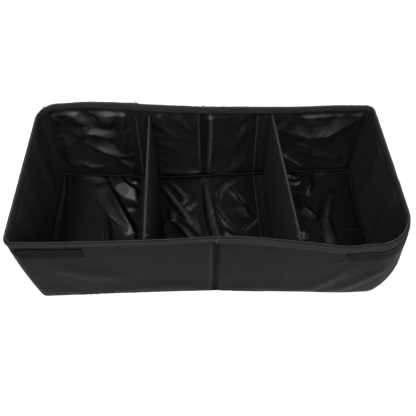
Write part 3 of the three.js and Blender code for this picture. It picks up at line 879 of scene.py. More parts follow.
@dataclass(frozen=True)
class Crease:
    """A ridge or a hollow in a cloth, along a bent line. Places are in the cloth's own map, in millimetres."""

    line: tuple[tuple[float, float], ...]
    rise: float
    spread: float
    lean: float = 0.0
    # How strongly a highlight is painted along the crest, from 0 to 1
    worn: float = 0.0

    def height(self, x: Array, y: Array, crest_highlight: bool = False) -> Array:
        """How far the ridge lifts each place of the cloth, or how strongly a highlight is painted on its crest.

        Args:
            x: Places along the cloth.
            y: Places across it.
            crest_highlight: True for the highlight painted on the crest.

        Returns:
            The lift in millimetres, or a share from 0 to 1.
        """
        points = np.array(self.line, float)
        lengths = np.linalg.norm(np.diff(points, axis=0), axis=1)
        starts = np.concatenate([[0.0], np.cumsum(lengths)])
        best = np.full(x.shape, 1e9)
        side = np.zeros(x.shape)
        share = np.zeros(x.shape)
        for a, b, start, length in zip(points[:-1], points[1:], starts, lengths):
            way = (b - a) / length
            along = np.clip((x - a[0]) * way[0] + (y - a[1]) * way[1], 0.0, length)
            dx, dy = x - a[0] - along * way[0], y - a[1] - along * way[1]
            far = np.hypot(dx, dy)
            nearer = far < best
            best = np.where(nearer, far, best)
            side = np.where(nearer, np.sign(dx * way[1] - dy * way[0]), side)
            share = np.where(nearer, (start + along) / starts[-1], share)
        taper = np.sin(np.pi * np.clip(share, CREASE_END, 1 - CREASE_END)) ** 0.6
        # Painted highlight: a narrow band along the crest, fading towards its ends
        if crest_highlight:
            return self.worn * taper * np.exp(-((best / min(HIGHLIGHT_HALF, self.spread * 0.6)) ** 2))
        reach = self.spread * (1.0 + self.lean * side)
        profile = np.clip(1.0 + CREST_ROUND - np.hypot(best / reach, CREST_ROUND), 0.0, 1.0)
        return self.rise * taper * profile


def rumple(x: Array, y: Array, size: float, seed: float, ridged: bool = True) -> Array:
    """Soft noise over a cloth, from about -1 to 1, with sharp ridges if asked.

    Args:
        x: Places along the cloth, in millimetres.
        y: Places across it.
        size: How far apart the folds are.
        seed: Which noise.
        ridged: True for ridges where the noise crosses zero.

    Returns:
        The noise at each place.
    """
    out = np.empty(x.shape)
    flat = out.ravel()
    for i, (a, b) in enumerate(zip(x.ravel(), y.ravel())):
        bend = noise.noise((a / size * 0.5 + seed, b / size * 0.5, 7.3)) * 0.7
        value = noise.noise((a / size + bend, b / size - bend, seed))
        flat[i] = 1.0 - 4.0 * abs(value) if ridged else 2.0 * value
    return out


def ring(share: Array, radius: float) -> tuple[Array, Array]:
    """Places on a ring, for shares round it. Noise taken there meets itself."""
    return np.cos(share * 2 * math.pi) * radius, np.sin(share * 2 * math.pi) * radius


def edge_fade(x: Array, y: Array, width: float, height: float, margin: float) -> Array:
    """From 0 on the edge of a cloth to 1 a margin inside it."""
    nearest = np.minimum(np.minimum(x, width - x), np.minimum(y, height - y))
    return smooth(nearest, 0.0, margin)


def sampled(grid: Array, cell: tuple[float, float]) -> Relief:
    """A smooth surface through a grid of heights, by cubic curves along and across it.

    Args:
        grid: Heights, row by row.
        cell: The grid's spacing along and across, in millimetres.

    Returns:
        The height at any place.
    """
    rows, columns = grid.shape

    def weights(t: Array) -> tuple[Array, ...]:
        """The shares of four neighbours at t between the middle two."""
        t2, t3 = t * t, t * t * t
        return (-0.5 * t3 + t2 - 0.5 * t, 1.5 * t3 - 2.5 * t2 + 1, -1.5 * t3 + 2 * t2 + 0.5 * t, 0.5 * t3 - 0.5 * t2)

    def height(x: Array, y: Array) -> Array:
        """The height at each place."""
        a = np.clip(x / cell[0], 0, columns - 1.001)
        b = np.clip(y / cell[1], 0, rows - 1.001)
        i, j = a.astype(int), b.astype(int)
        out = np.zeros(x.shape)
        for dj, wy in zip((-1, 0, 1, 2), weights(b - j)):
            for di, wx in zip((-1, 0, 1, 2), weights(a - i)):
                out += wy * wx * grid[np.clip(j + dj, 0, rows - 1), np.clip(i + di, 0, columns - 1)]
        return out

    return height


# How soon a cloth is free beside its hem and beside a sewn tape, and how far it may sink below its board's face
HEM_FADE = 7.0
ZONE_FADE = 9.0
SUNK = -0.3
# The cloth simulation: its scale from millimetres, the gap that it keeps, and the cloth's own settings
SIMULATED = 0.01
CLOTH_GAP = 0.004
CLOTH_SETTINGS = {
    "quality": 6, "mass": 0.3, "air_damping": 2.0, "tension_stiffness": 15.0, "compression_stiffness": 15.0,
    "shear_stiffness": 5.0,
}


@dataclass(frozen=True)
class Cutting:
    """A flat cutting of cloth, held along its edges and where tapes are sewn to it, with some cloth to spare.

    The creases and rumples are its first shape. A cloth simulation over the board behind it then lets the spare cloth
    find its folds.
    """

    name: str
    width: float
    height: float
    cell: float
    seed: float
    creases: tuple[Crease, ...] = ()
    soft: tuple[float, float] = (0.6, 60.0)
    sharp: tuple[float, float] = (0.0, 30.0)
    spare: float = 0.01
    frames: int = 14
    bend: float = 1.0
    pull: tuple[float, float, float] = (0.0, 0.0, -4.0)
    zones: tuple[tuple[float, float, float], ...] = ()
    margin: float = 14.0
    hem: float = 0.0
    cap: float = 9.0

    def fade(self, x: Array, y: Array) -> Array:
        """From 0 where the cloth is held to 1 where it is free.

        A zone is a middle, a lean with height, and a half.
        """
        free = edge_fade(x, y, self.width, self.height, self.margin)
        if self.hem:
            free = free * smooth(self.height - y, self.hem, self.hem + HEM_FADE)
        for middle, lean, half in self.zones:
            free = free * smooth(np.abs(x - middle - lean * y / self.height), half, half + ZONE_FADE)
        return free

    def laid(self, x: Array, y: Array) -> Array:
        """The cloth's first shape: its creases and rumples."""
        lift = self.soft[0] * rumple(x, y, self.soft[1], self.seed, False)
        if self.sharp[0]:
            lift = lift + self.sharp[0] * np.clip(rumple(x, y, self.sharp[1], self.seed + 0.5), 0.0, 1.0)
        return np.clip(lift + self.folds(x, y, False), SUNK, None) * self.fade(x, y)

    def folds(self, x: Array, y: Array, fine: bool) -> Array:
        """The cloth's creases: those finer than its cells, or the others."""
        up, down = np.zeros(x.shape), np.zeros(x.shape)
        for crease in self.creases:
            if (crease.spread < self.cell) == fine:
                lift = crease.height(x, y)
                up, down = np.maximum(up, lift), np.minimum(down, lift)
        return up + down

    def worn(self, x: Array, y: Array) -> Array:
        """How strongly a highlight is painted on each place of the cloth, from 0 to 1."""
        return np.max([c.height(x, y, True) for c in self.creases if c.worn] or [0.0 * x], axis=0)

    def relief(self) -> Relief:
        """The settled cloth.

        Returns:
            How far each place of it is lifted from its board.
        """
        columns, rows = round(self.width / self.cell), round(self.height / self.cell)
        xs, ys = np.linspace(0, self.width, columns + 1), np.linspace(0, self.height, rows + 1)
        x, y = np.meshgrid(xs, ys)
        lift = self._settled(columns, rows)
        lift = np.clip(lift, SUNK, self.cap) * self.fade(x, y) ** 0.3
        broad = sampled(lift, (xs[1], ys[1]))

        def whole(x: Array, y: Array) -> Array:
            """The settled cloth with its finest creases."""
            free = edge_fade(x, y, self.width, self.height, 5.0)
            free = free * smooth(self.height - y, self.hem - 4.0, self.hem)
            return np.maximum(broad(x, y) + self.folds(x, y, True) * free, -0.2)

        return whole

    def _settled(self, columns: int, rows: int) -> Array:
        """Runs the cloth simulation of the flat cutting.

        Args:
            columns: Cells along it.
            rows: Cells across it.

        Returns:
            The lift at each corner of its cells, row by row.
        """
        scene = bpy.context.scene
        gravity, first = tuple(scene.gravity), scene.frame_current
        mesh, u, v = unit_grid("cutting", (columns, rows))
        x, y = u * self.width, v * self.height
        lift = np.maximum(self.laid(x, y), 0.0)
        mesh.vertices.foreach_set("co", (np.stack([x, y, lift], -1) * SIMULATED).ravel())
        cutting = linked("cutting", mesh)
        held = cutting.vertex_groups.new(name="held")
        for i in np.nonzero(self.fade(x, y) < 0.02)[0]:
            held.add([int(i)], 1.0, "REPLACE")
        cloth = cutting.modifiers.new("settle", "CLOTH")
        for setting, value in CLOTH_SETTINGS.items():
            setattr(cloth.settings, setting, value)
        cloth.settings.bending_stiffness = self.bend
        cloth.settings.shrink_min = -self.spare
        cloth.settings.vertex_group_mass = "held"
        cloth.collision_settings.use_collision = True
        cloth.collision_settings.distance_min = CLOTH_GAP
        cloth.collision_settings.use_self_collision = False
        cloth.point_cache.frame_end = self.frames
        bm = bmesh.new()
        bmesh.ops.create_grid(bm, x_segments=2, y_segments=2, size=8.0)
        backing = linked("backing", finished(bm, "backing"))
        backing.location = (self.width * SIMULATED / 2, self.height * SIMULATED / 2, -1.5 * CLOTH_GAP)
        backing.modifiers.new("collide", "COLLISION")
        backing.collision.thickness_outer = CLOTH_GAP
        scene.gravity = self.pull
        for moment in range(1, self.frames + 1):
            scene.frame_set(moment)
        done = cutting.evaluated_get(bpy.context.evaluated_depsgraph_get()).to_mesh()
        settled = mesh_points(done) / SIMULATED
        for used in (cutting, backing):
            bpy.data.objects.remove(used)
        scene.gravity = gravity
        scene.frame_set(first)
        LOG.info("%s settled: lift up to %.1f mm, mean %.2f", self.name, settled[:, 2].max(), settled[:, 2].mean())
        order = np.lexsort((np.round(x, 3), np.round(y, 3)))
        return settled[order, 2].reshape(rows + 1, columns + 1)


# ------------------------------------------------------------
# The folds that the cloths have taken
# ------------------------------------------------------------

# In the crease tables, a fifth value is the highlight painted on the crest
# On the back wall's lining, from its right end to its left and up from the floor
BACK_LINING_CREASES = (
    Crease(((508, 80), (500, 90), (488, 96), (474, 94), (456, 88), (438, 84)), 8.5, 22, 0.72),
    Crease(((482, 64), (458, 54), (436, 47), (420, 46)), 6.0, 12, 0.55),
    Crease(((426, 152), (427, 110), (424, 75), (418, 50)), 6.5, 15, -0.3),
    Crease(((442, 44), (426, 32), (412, 18), (400, 3)), 4.5, 8, 0.3),
    Crease(((552, 148), (543, 132), (532, 112)), 4.0, 8, -0.3),
    Crease(((474, 134), (454, 122), (436, 116)), 9.0, 30, -0.2),
    Crease(((522, 140), (502, 122), (480, 108)), 7.0, 22, -0.3),
    Crease(((498, 148), (484, 132), (468, 124)), -2.5, 3.4),
    Crease(((462, 78), (450, 75), (442, 72)), -3.0, 3.8),
    Crease(((532, 100), (527, 66), (524, 30)), 3.0, 16),
    Crease(((505, 26), (485, 18), (462, 20)), 2.5, 7, 0.4),
    Crease(((272, 152), (270, 110), (273, 60), (276, 6)), 6.0, 7, -0.2, 0.5),
    Crease(((292, 152), (292, 80), (291, 6)), 2.0, 2.2, 0.0, 0.4),
    Crease(((285, 152), (285, 6)), -0.6, 3.5),
    Crease(((196, 148), (208, 118), (222, 88), (228, 62)), 4.2, 11, 0.3),
    Crease(((356, 150), (364, 126)), 2.4, 6),
    Crease(((345, 118), (325, 124), (304, 108)), 1.6, 22),
    Crease(((318, 9), (290, 13)), 2.2, 3.4),
    Crease(((255, 60), (244, 40), (240, 20)), 1.8, 8),
    Crease(((132, 100), (100, 92), (66, 94), (26, 118)), 11.5, 30, 0.72),
    Crease(((128, 124), (84, 116), (40, 126)), 7.5, 24, 0.5),
    Crease(((133, 90), (112, 85), (92, 70)), 2.4, 3.2),
    Crease(((120, 72), (98, 62), (84, 52)), 2.6, 6, 0.4),
    Crease(((104, 50), (74, 40), (48, 30)), 3.0, 14, 0.5),
    Crease(((149, 55), (124, 36), (98, 14)), 4.2, 3.2, 0.0, 0.7),
    Crease(((152, 150), (128, 145), (108, 149)), 3.0, 4.6),
)
# On the floor's lining, to the right and to the back of the box's middle
FLOOR_CREASES = (
    Crease(((-184, 106), (-176, 84), (-162, 55), (-147, 25), (-134, 0), (-124, -18)), 12.0, 16, 0.6),
    Crease(((-163, 118), (-152, 98), (-135, 82), (-106, 70)), 11.0, 13, 0.55),
    Crease(((-178, 28), (-158, 8), (-141, -10)), -1.6, 2.2),
    Crease(((-170, 30), (-152, 12), (-134, -8)), -1.2, 1.8),
    Crease(((-182, 40), (-178, 6), (-172, -34), (-168, -70)), 3.4, 7, -0.3),
    Crease(((-136, 103), (-126, 101), (-116, 97)), 3.4, 5),
    Crease(((-146, 44), (-132, 40), (-112, 44)), 3.0, 9),
    Crease(((-160, -34), (-138, -64), (-124, -98)), 4.0, 12, 0.4),
    Crease(((-86, 94), (-72, 72), (-62, 54), (-50, 36), (-38, 18), (-26, -2)), 6.5, 8, -0.35, 1.0),
    Crease(((-72, 102), (-55, 83), (-46, 70), (-41, 56), (-52, 46)), 4.6, 6, -0.3, 0.8),
    Crease(((-26, 54), (-34, 42), (-44, 32)), 4.6, 6, 0.2, 0.7),
    Crease(((-67, 34), (-65, 18), (-60, 6)), 5.0, 7, -0.3, 0.8),
    Crease(((-60, 8), (-44, -10), (-26, -34)), 7.5, 12, -0.5, 0.8),
    Crease(((-31, 26), (-26, 8), (-20, -14)), 4.0, 5.4, -0.3, 0.6),
    Crease(((-80, 20), (-74, -20), (-76, -60)), 2.4, 12),
    Crease(((-7, 104), (-5, 80), (-2, 52), (2, 20), (9, -14), (14, -60)), 8.0, 14, -0.4, 0.7),
    Crease(((48, 104), (33, 92), (22, 78), (19, 58)), 2.8, 5, 0.3, 0.45),
    Crease(((42, 84), (55, 67), (62, 50)), 2.6, 4.6, 0.3, 0.45),
    Crease(((10, 50), (19, 30), (31, 9), (44, -6)), 3.2, 6, 0.4, 0.4),
    Crease(((58, -10), (73, 5), (86, 19)), 2.6, 3.4, 0.0, 0.7),
    Crease(((28, -8), (44, -24)), 3.0, 6, 0.3),
    Crease(((60, 50), (72, 34), (76, 16)), 2.6, 9, 0.4),
    Crease(((20, -40), (46, -60), (78, -64)), 2.8, 9),
    Crease(((134, 106), (156, 113), (174, 105)), 3.2, 5),
    Crease(((148, 97), (170, 94), (186, 104)), 3.4, 5.4),
    Crease(((194, 114), (194, 88), (184, 64)), 7.0, 13, 0.4),
    Crease(((184, 66), (174, 50), (176, 36), (192, 22)), 5.5, 10, 0.3),
    Crease(((221, 64), (211, 34), (205, 8), (209, -14), (218, -46)), 7.5, 13, -0.2, 0.5),
    Crease(((150, 40), (160, 10), (172, -30), (168, -70)), 2.4, 12),
)
# On the front wall's cover, from its left end to its right and up from the ground
FRONT_COVER_CREASES = (
    Crease(((432, 4), (452, 34), (478, 72), (497, 112)), 2.2, 13),
    Crease(((470, 2), (496, 34), (524, 70), (552, 96)), 2.2, 15),
    Crease(((372, 140), (368, 90), (362, 40), (360, 4)), 1.5, 14),
    Crease(((312, 142), (318, 90), (312, 30)), 1.4, 12),
    Crease(((410, 130), (402, 80), (392, 20)), 1.2, 12),
    Crease(((104, 152), (106, 134), (99, 118)), 1.6, 5),
    Crease(((283, 150), (284, 80), (284, 1)), 1.3, 3.6, -0.3, 0.25),
    Crease(((483, 146), (488, 128), (478, 114)), 1.8, 5),
    Crease(((40, 96), (90, 70), (150, 60)), 1.0, 20),
    Crease(((560, 20), (574, 60), (584, 100)), 1.4, 9),
)
# On the end walls' linings, from the back to the front at the left, and the other way at the right
LEFT_LINING_CREASES = (
    Crease(((70, 150), (62, 90), (66, 10)), 4.4, 18, 0.2),
    Crease(((202, 150), (206, 60), (200, 0)), 4.4, 22, 0.3),
    Crease(((140, 150), (136, 80), (140, 20)), 3.0, 17),
)
RIGHT_LINING_CREASES = (
    Crease(((60, 150), (66, 80), (60, 10)), 4.2, 22, 0.3),
    Crease(((150, 150), (146, 80), (152, 10)), 4.0, 25, -0.2),
)
# On the other cloths, where the photograph shows little
FRONT_LINING_CREASES = (
    Crease(((120, 10), (150, 60), (200, 110)), 3.0, 7),
    Crease(((360, 120), (400, 70), (470, 40)), 3.0, 8),
    Crease(((500, 120), (540, 90), (560, 40)), 2.5, 7),
)
BACK_COVER_CREASES = (
    Crease(((60, 120), (120, 70), (150, 10)), 1.0, 24),
    Crease(((400, 140), (440, 80), (500, 20)), 1.1, 28),
)


# ------------------------------------------------------------
# Sub-assemblies
# ------------------------------------------------------------

AIR = 0.3
COVER_THICK = 0.8
COVER_LOW = 0.9
LINING_FACE = 4.6
LINING_THICK = 0.7
FLOOR_TOP = 4.6
RIM_TAPE_WIDTH = 13.0
TAPE_THICK = 0.8
LOOP_STRIP_THICK = 1.0
DIVIDER_SPAN = 240.0
DOWN = (0.0, -1.0, -0.8)
END_CLOTH = {"cell": 7.0, "spare": 0.001, "bend": 8.0, "cap": 4.5, "margin": 10.0}
COVER_CLOTH = {"cell": 6.0, "bend": 6.0, "cap": 4.0, "margin": 10.0}
# How each wall's cover and lining is cut. A zone is where a divider's flange holds the lining.
CUTTINGS = {
    "back_lining": {
        "cell": 4.0, "seed": 13.1, "creases": BACK_LINING_CREASES, "soft": (0.8, 55.0), "sharp": (0.3, 30.0),
        "spare": 0.006, "zones": ((384.0, 12.0, 17.0), (179.0, 12.0, 18.0)), "bend": 2.0, "cap": 14.0,
    },
    "front_lining": {
        "cell": 5.0, "seed": 11.1, "creases": FRONT_LINING_CREASES, "soft": (0.8, 60.0), "sharp": (0.5, 34.0),
        "spare": 0.012, "zones": ((175.0, 0.0, 17.0), (402.0, 0.0, 17.0)), "bend": 1.5,
    },
    "front_cover": {"seed": 1.4, "creases": FRONT_COVER_CREASES, "soft": (0.35, 90.0), "spare": 0.002, **COVER_CLOTH},
    "back_cover": {"seed": 3.7, "creases": BACK_COVER_CREASES, "soft": (0.5, 80.0), "spare": 0.003, **COVER_CLOTH},
    "right_end_lining": {"seed": 12.2, "creases": RIGHT_LINING_CREASES, "soft": (0.5, 80.0), **END_CLOTH},
    "left_end_lining": {"seed": 14.6, "creases": LEFT_LINING_CREASES, "soft": (0.5, 80.0), **END_CLOTH},
    "right_end_cover": {"seed": 2.2, "soft": (0.5, 90.0), **END_CLOTH},
    "left_end_cover": {"seed": 4.6, "soft": (0.5, 90.0), **END_CLOTH},
}


@dataclass
class WallPanel:
    """One cloth of the wall: an outer cover or a lining, between two corner seams."""

    wall: WallShape
    finish: bpy.types.Material
    node: str
    start: float
    end: float
    slot: Slot
    lining: bool
    cutting: Cutting
    cell: float
    low: float
    fold_dip: float
    pinch: float = 1.7
    pinch_reach: float = 7.0

    def build(self) -> None:
        """Makes the cloth."""
        width = self.end - self.start
        height = WALL_HEIGHT - self.low
        cells = (max(8, round(width / self.cell)), max(8, round(height / self.cell)))
        inward = 1.0 if self.lining else -1.0
        face = LINING_FACE if self.lining else 0.0
        relief = self.cutting.relief()

        def place(u: Array, v: Array) -> Array:
            """The cloth's points for shares along and up it."""
            s = self.start + AIR / 2 + u * (width - AIR)
            z = self.low + v * (self.wall.rim_height(s) - self.low)
            lift = relief(u * width, v * height)
            pinch = self.pinch * smooth(z - self.wall.rim_height(s), -self.pinch_reach, 0.0)
            dip = self.fold_dip * np.clip(1.5 * self.wall.fold_share(s), 0.0, 1.0) * smooth(z, -6.0, 9.0) + pinch
            if not self.lining:
                dip = dip - self.wall.puff(s, z)
            return self.wall.point(s, z, face + inward * lift - inward * dip)

        piece = mapped_sheet(
            self.node + "_cloth", cells, (width, height), place, flipped=self.lining, worn=self.cutting.worn
        )
        thicken(piece, LINING_THICK if self.lining else COVER_THICK)
        dress(piece, Body.BOX, self.finish, [self.node])


@dataclass
class Walls:
    """The outer covers and the linings of the four walls."""

    wall: WallShape
    finishes: Finishes
    spans: dict[str, tuple[float, float]] = field(init=False)

    def __post_init__(self) -> None:
        """Finds where each wall starts and ends round the box."""
        m, whole = self.wall.marks, self.wall.round
        self.spans = {
            "front": (m["front_left"] - whole, m["front_right"]),
            "right_end": (m["front_right"], m["back_right"]),
            "back": (m["back_right"], m["back_left"]),
            "left_end": (m["back_left"], m["front_left"]),
        }

    def build(self) -> None:
        """Makes the eight cloths."""
        dips = {"front_cover": 3.3, "back_lining": 2.0}
        for wall_name, (start, end) in self.spans.items():
            plain = wall_name.endswith("_end")
            # The front and back covers take the copies with painted fold shade
            cover = self.finishes.outer_fold_shaded.get(wall_name, self.finishes.outer)
            # The end walls take the lighter copy of the lining, with painted light
            lining = self.finishes.wall_lining if plain else self.finishes.lining
            for kind, finish, slot, low, cell, dip in (
                ("cover", cover, Slot.OUTER, COVER_LOW, 2.5, 0.9),
                ("lining", lining, Slot.LINING, FLOOR_TOP, 3.0 if plain else 2.0, 0.2),
            ):
                node = f"{wall_name}_{kind}"
                size = (end - start, WALL_HEIGHT - low)
                cutting = Cutting(node, *size, hem=RIM_TAPE_WIDTH, pull=DOWN, **CUTTINGS[node])
                dip = dips.get(node, dip)
                WallPanel(
                    self.wall, finish, node, start, end, slot, kind == "lining", cutting, cell, low, dip
                ).build()


@dataclass
class FloorCloths:
    """The base cover and the floor's lining."""

    wall: WallShape
    finishes: Finishes
    fold_shift: float = -10.0
    fold_half: float = 7.0

    def _spread(self, u: Array, v: Array, depth: float, height: float) -> Array:
        """Points of the floor for shares to the right and to the back, kept inside its outline."""
        ring = self.wall.point(self.wall.distances, height, depth)
        low, high = ring.min(0), ring.max(0)
        x = low[0] + u * (high[0] - low[0])
        y = low[1] + v * (high[1] - low[1])
        tree = kdtree.KDTree(len(ring))
        for i, p in enumerate(ring):
            tree.insert((p[0], p[1], 0.0), i)
        tree.balance()
        normals = np.stack([self.wall.table[4], self.wall.table[5]], -1)
        for i in range(len(x)):
            spot, index, _ = tree.find((x[i], y[i], 0.0))
            if (x[i] - spot[0]) * normals[index, 0] + (y[i] - spot[1]) * normals[index, 1] > 0:
                x[i], y[i] = spot[0], spot[1]
        return np.stack([x, y, np.full(len(x), height)], -1)

    def build(self) -> None:
        """Makes both cloths."""
        length, width = OUTLINE_SIZES[FLOOR]

        def under(u: Array, v: Array) -> Array:
            """The base cover's lower face, hardly off the ground."""
            points = self._spread(u, v, 0.2, 0.0)
            points[:, 2] = 0.15 + 0.15 * rumple(points[:, 0], points[:, 1], 60.0, 21.0, False)
            return points

        base = mapped_sheet("base_cover_cloth", (110, 50), (length, width), under, flipped=True)
        thicken(base, COVER_THICK - 0.2)
        dress(base, Body.BOX, self.finishes.outer, ["base_cover"])

        marks = self.wall.marks
        near, far = (self.wall.point(marks[n], FLOOR_TOP, LINING_FACE) for n in ("front_fold", "back_fold"))
        left, front = -length / 2 + 5.0, -width / 2 + 4.0
        creases = tuple(replace(c, line=tuple((x - left, y - front) for x, y in c.line)) for c in FLOOR_CREASES)
        held = ((-103.0 - left, 0.0, 17.0), (103.0 - left, -4.0, 18.0))
        cutting = Cutting(
            "floor_lining", length, width, 4.0, 31.3, creases, soft=(0.3, 80.0), spare=0.003,
            bend=2.0, cap=16.0, pull=(0.0, 0.0, -1.0), zones=held,
        )
        lifted = cutting.relief()

        def crest_highlight(x: Array, y: Array) -> Array:
            """How strongly a highlight is painted on the lining, at places from its front left corner."""
            return cutting.worn(x - (length / 2 + left), y - (width / 2 + front))

        def top(u: Array, v: Array) -> Array:
            """The lining's upper face."""
            points = self._spread(u, v, LINING_FACE + AIR, FLOOR_TOP)
            x, y = points[:, 0], points[:, 1]
            crease = near[0] + (far[0] - near[0]) * (y - near[1]) / (far[1] - near[1]) + self.fold_shift
            valley = 1.0 - smooth(np.abs(x - crease), 0.0, self.fold_half)
            points[:, 2] += lifted(x - left, y - front) * (1.0 - valley)
            return points

        lining = mapped_sheet("floor_lining_cloth", (320, 146), (length, width), top, worn=crest_highlight)
        thicken(lining, LINING_THICK)
        # The floor's lining takes the darker copy of the lining, with painted shade
        dress(lining, Body.BOX, self.finishes.floor_lining, ["base_lining"])


# The floor seam's tape: each measure, what its wobble adds, and what lying down adds
SEAM_LEAN = (0.95, 0.35, -0.75)
SEAM_REACH = (3.5, 0.5, 1.9)
SEAM_THICK = (0.95, 0.0, -0.3)


@dataclass
class Tapes:
    """The rim's binding and the tapes over the floor seam and the corner seams."""

    wall: WallShape
    finishes: Finishes
    # The binding's drop below the rim and its depth, from the outer hem over the edge to the inner hem
    profile: tuple[tuple[float, float], ...] = (
        (-13.0, -1.0), (-10.0, -1.25), (-6.5, -1.2), (-3.2, -0.6), (-0.9, 0.2), (0.5, 0.95), (1.15, 1.7),
        (1.25, 2.3), (1.15, 2.9), (0.5, 3.6), (-0.7, 4.2), (-2.4, 4.9), (-4.6, 5.4), (-6.8, 5.6), (-9.0, 5.3),
    )
    # How far along the back wall the binding's ends join, and where its doubled stretch along the front ends
    join_along: float = 398.0
    doubled_end: tuple[float, float] = (540.0, 590.0)
    # The tape over a corner seam: how far it starts above the floor and ends above the binding's hem, how far it
    # stands out, how much less at its top, and half its width
    corner_foot: float = 4.0
    corner_tuck: float = 3.0
    corner_stand: float = 1.7
    corner_pressed: float = 0.9
    corner_half: float = 2.4
    # How much higher the binding stands along the back wall, and where that starts and ends
    back_rise: float = 2.2
    back_stretch: tuple[float, float, float, float] = (850.0, 1000.0, 1230.0, 1340.0)
    # How long the binding's outer leg is, at distances round the box
    legs: tuple[tuple[float, ...], ...] = (
        (0.0, 275.0, 283.0, 580.0, 640.0, 1300.0, 1400.0, 1640.0), (0.45, 0.5, 1.0, 1.0, 0.8, 0.8, 0.66, 0.45)
    )

    def over_rim(self, s: Array, v: Array, proud: Array | float = 0.0) -> Array:
        """Points on the binding: a distance round the box, and a share over the edge from outer to inner hem."""
        places = np.linspace(0, 1, len(self.profile))
        shape = np.array(self.profile)
        drop = curve_through(places, shape[:, 0], v)
        depth = curve_through(places, shape[:, 1], v)
        wrapped = np.mod(s, self.wall.round)
        back = smooth(wrapped, *self.back_stretch[:2]) * (1.0 - smooth(wrapped, *self.back_stretch[2:]))
        drop = drop + self.back_rise * back * np.exp(-(((v - 0.5) / 0.3) ** 4))
        leg = np.interp(wrapped, *self.legs)
        drop = np.where((v < 0.5) & (drop < -0.9), -0.9 + (drop + 0.9) * leg, drop)
        slope = (v - 0.5) * 2
        depth = depth + proud * np.sign(slope) * np.abs(slope) ** 0.5
        drop = drop + proud * (1 - np.abs(slope)) ** 0.5
        return self.wall.point(s, self.wall.rim_height(s) + drop, depth)

    def build(self) -> None:
        """Makes every tape and the stitches of the rim's binding."""
        whole, marks = self.wall.round, self.wall.marks
        fold = marks["front_fold"]
        join = marks["back_right"] + self.join_along

        def rim(u: Array, v: Array) -> Array:
            """The rim's binding, slightly puckered between its stitches, and doubled along the front's right half."""
            s = u * whole
            ring_x, ring_y = ring(u, whole / 6.3)
            pucker = rumple(ring_x, ring_y + v * 40.0, 7.0, 41.0, False) * 0.22
            doubled = smooth(s, fold - 1.0, fold + 3.0) * (1.0 - smooth(s, *self.doubled_end))
            pucker = pucker - 1.7 * doubled * np.exp(-(((v - 0.24) / 0.04) ** 2))
            pucker = pucker + 0.7 * smooth(s, join, join + 0.8) * (1.0 - smooth(s, join + 14.0, join + 15.0))
            points = self.over_rim(s, v, pucker)
            points[:, 2] += 1.0 * smooth(s, fold - 2.0, fold + 2.0) * (1.0 - smooth(s, fold + 20.0, fold + 120.0))
            return points

        tape = mapped_sheet("rim_binding_tape", (860, 28), (whole, 36.0), rim, closed=True)
        thicken(tape, TAPE_THICK)
        dress(tape, Body.BOX, self.finishes.tape, ["rim_binding"])

        line = np.linspace(0, whole, 1700)
        outer = self.over_rim(line, np.full(line.shape, 0.07), 0.12)
        inner = self.over_rim(line, np.full(line.shape, 0.93), 0.12)
        stitches = stitch_rows("rim_stitches", [outer, inner], *RIM_STITCH)
        dress(stitches, Body.BOX, self.finishes.thread)
        spots = {
            "front": (fold + 1.0, 0.2), "back": (marks["back_fold"], 0.52),
            "left": (marks["back_left"], 0.6), "join": (join + 2.0, 0.5),
        }
        for seed, (word, (at, share)) in enumerate(spots.items()):
            centre = self.over_rim(np.array([at]), np.array([share]), 0.8)[0]
            tuft = loose_threads(f"{word}_thread_ends", centre, 12, 2.8, seed + 5)
            dress(tuft, Body.BOX, self.finishes.frayed)

        left_middle = (marks["back_left"] + marks["front_left"]) / 2
        left_half = (marks["front_left"] - marks["back_left"]) / 2

        def seam(u: Array, v: Array) -> Array:
            """The tape folded over the floor seam: it stands in the angle, and lies down along the left wall."""
            s = u * whole
            turn = v * 2 * math.pi
            wobble = rumple(*ring(u, 270.0), 26.0, 51.0, False)
            lying = 1.0 - smooth(np.abs(s - left_middle), left_half - 45.0, left_half - 10.0)
            lean, reach, thick = (
                plain + moved * wobble + laid * lying for plain, moved, laid in (SEAM_LEAN, SEAM_REACH, SEAM_THICK)
            )
            a, b = np.cos(turn) * reach, np.sin(turn) * thick
            out = a * np.cos(lean) - b * np.sin(lean) + reach * np.cos(lean) + 0.7
            up = a * np.sin(lean) + b * np.cos(lean) + reach * np.sin(lean) + 0.9
            return self.wall.point(s, FLOOR_TOP + AIR + up, LINING_FACE + AIR + np.maximum(out, 0.1))

        bead = mapped_sheet("floor_seam_tape", (560, 12), (whole, 14.0), seam, closed=True, flipped=True)
        dress(bead, Body.BOX, self.finishes.seam_tape, ["floor_seam_binding"])

        for name in ("front_left", "front_right", "back_right", "back_left"):
            self._corner(name)

    def _corner(self, name: str) -> None:
        """Makes the tape folded over one corner seam."""
        middle = self.wall.marks[name]
        low = FLOOR_TOP + self.corner_foot
        high = float(self.wall.rim_height(middle)) - RIM_TAPE_WIDTH + self.corner_tuck

        def fold(u: Array, v: Array) -> Array:
            """A flat loop of tape that stands out from the seam."""
            z = low + u * (high - low)
            turn = v * 2 * math.pi
            wobble = np.sin(u * 9.0) * 0.5
            stand = self.corner_stand - self.corner_pressed * smooth(u, 0.85, 1.0)
            depth = LINING_FACE + AIR + stand - np.cos(turn) * stand
            return self.wall.point(middle + np.sin(turn) * self.corner_half + wobble, z, depth)

        tape = mapped_sheet(f"corner_tape_{name}", (60, 12), (high - low, 12.0), fold, flipped=True)
        weld(tape.data, filled=True)
        dress(tape, Body.BOX, self.finishes.corner_tape, [f"corner_binding_{name}"])


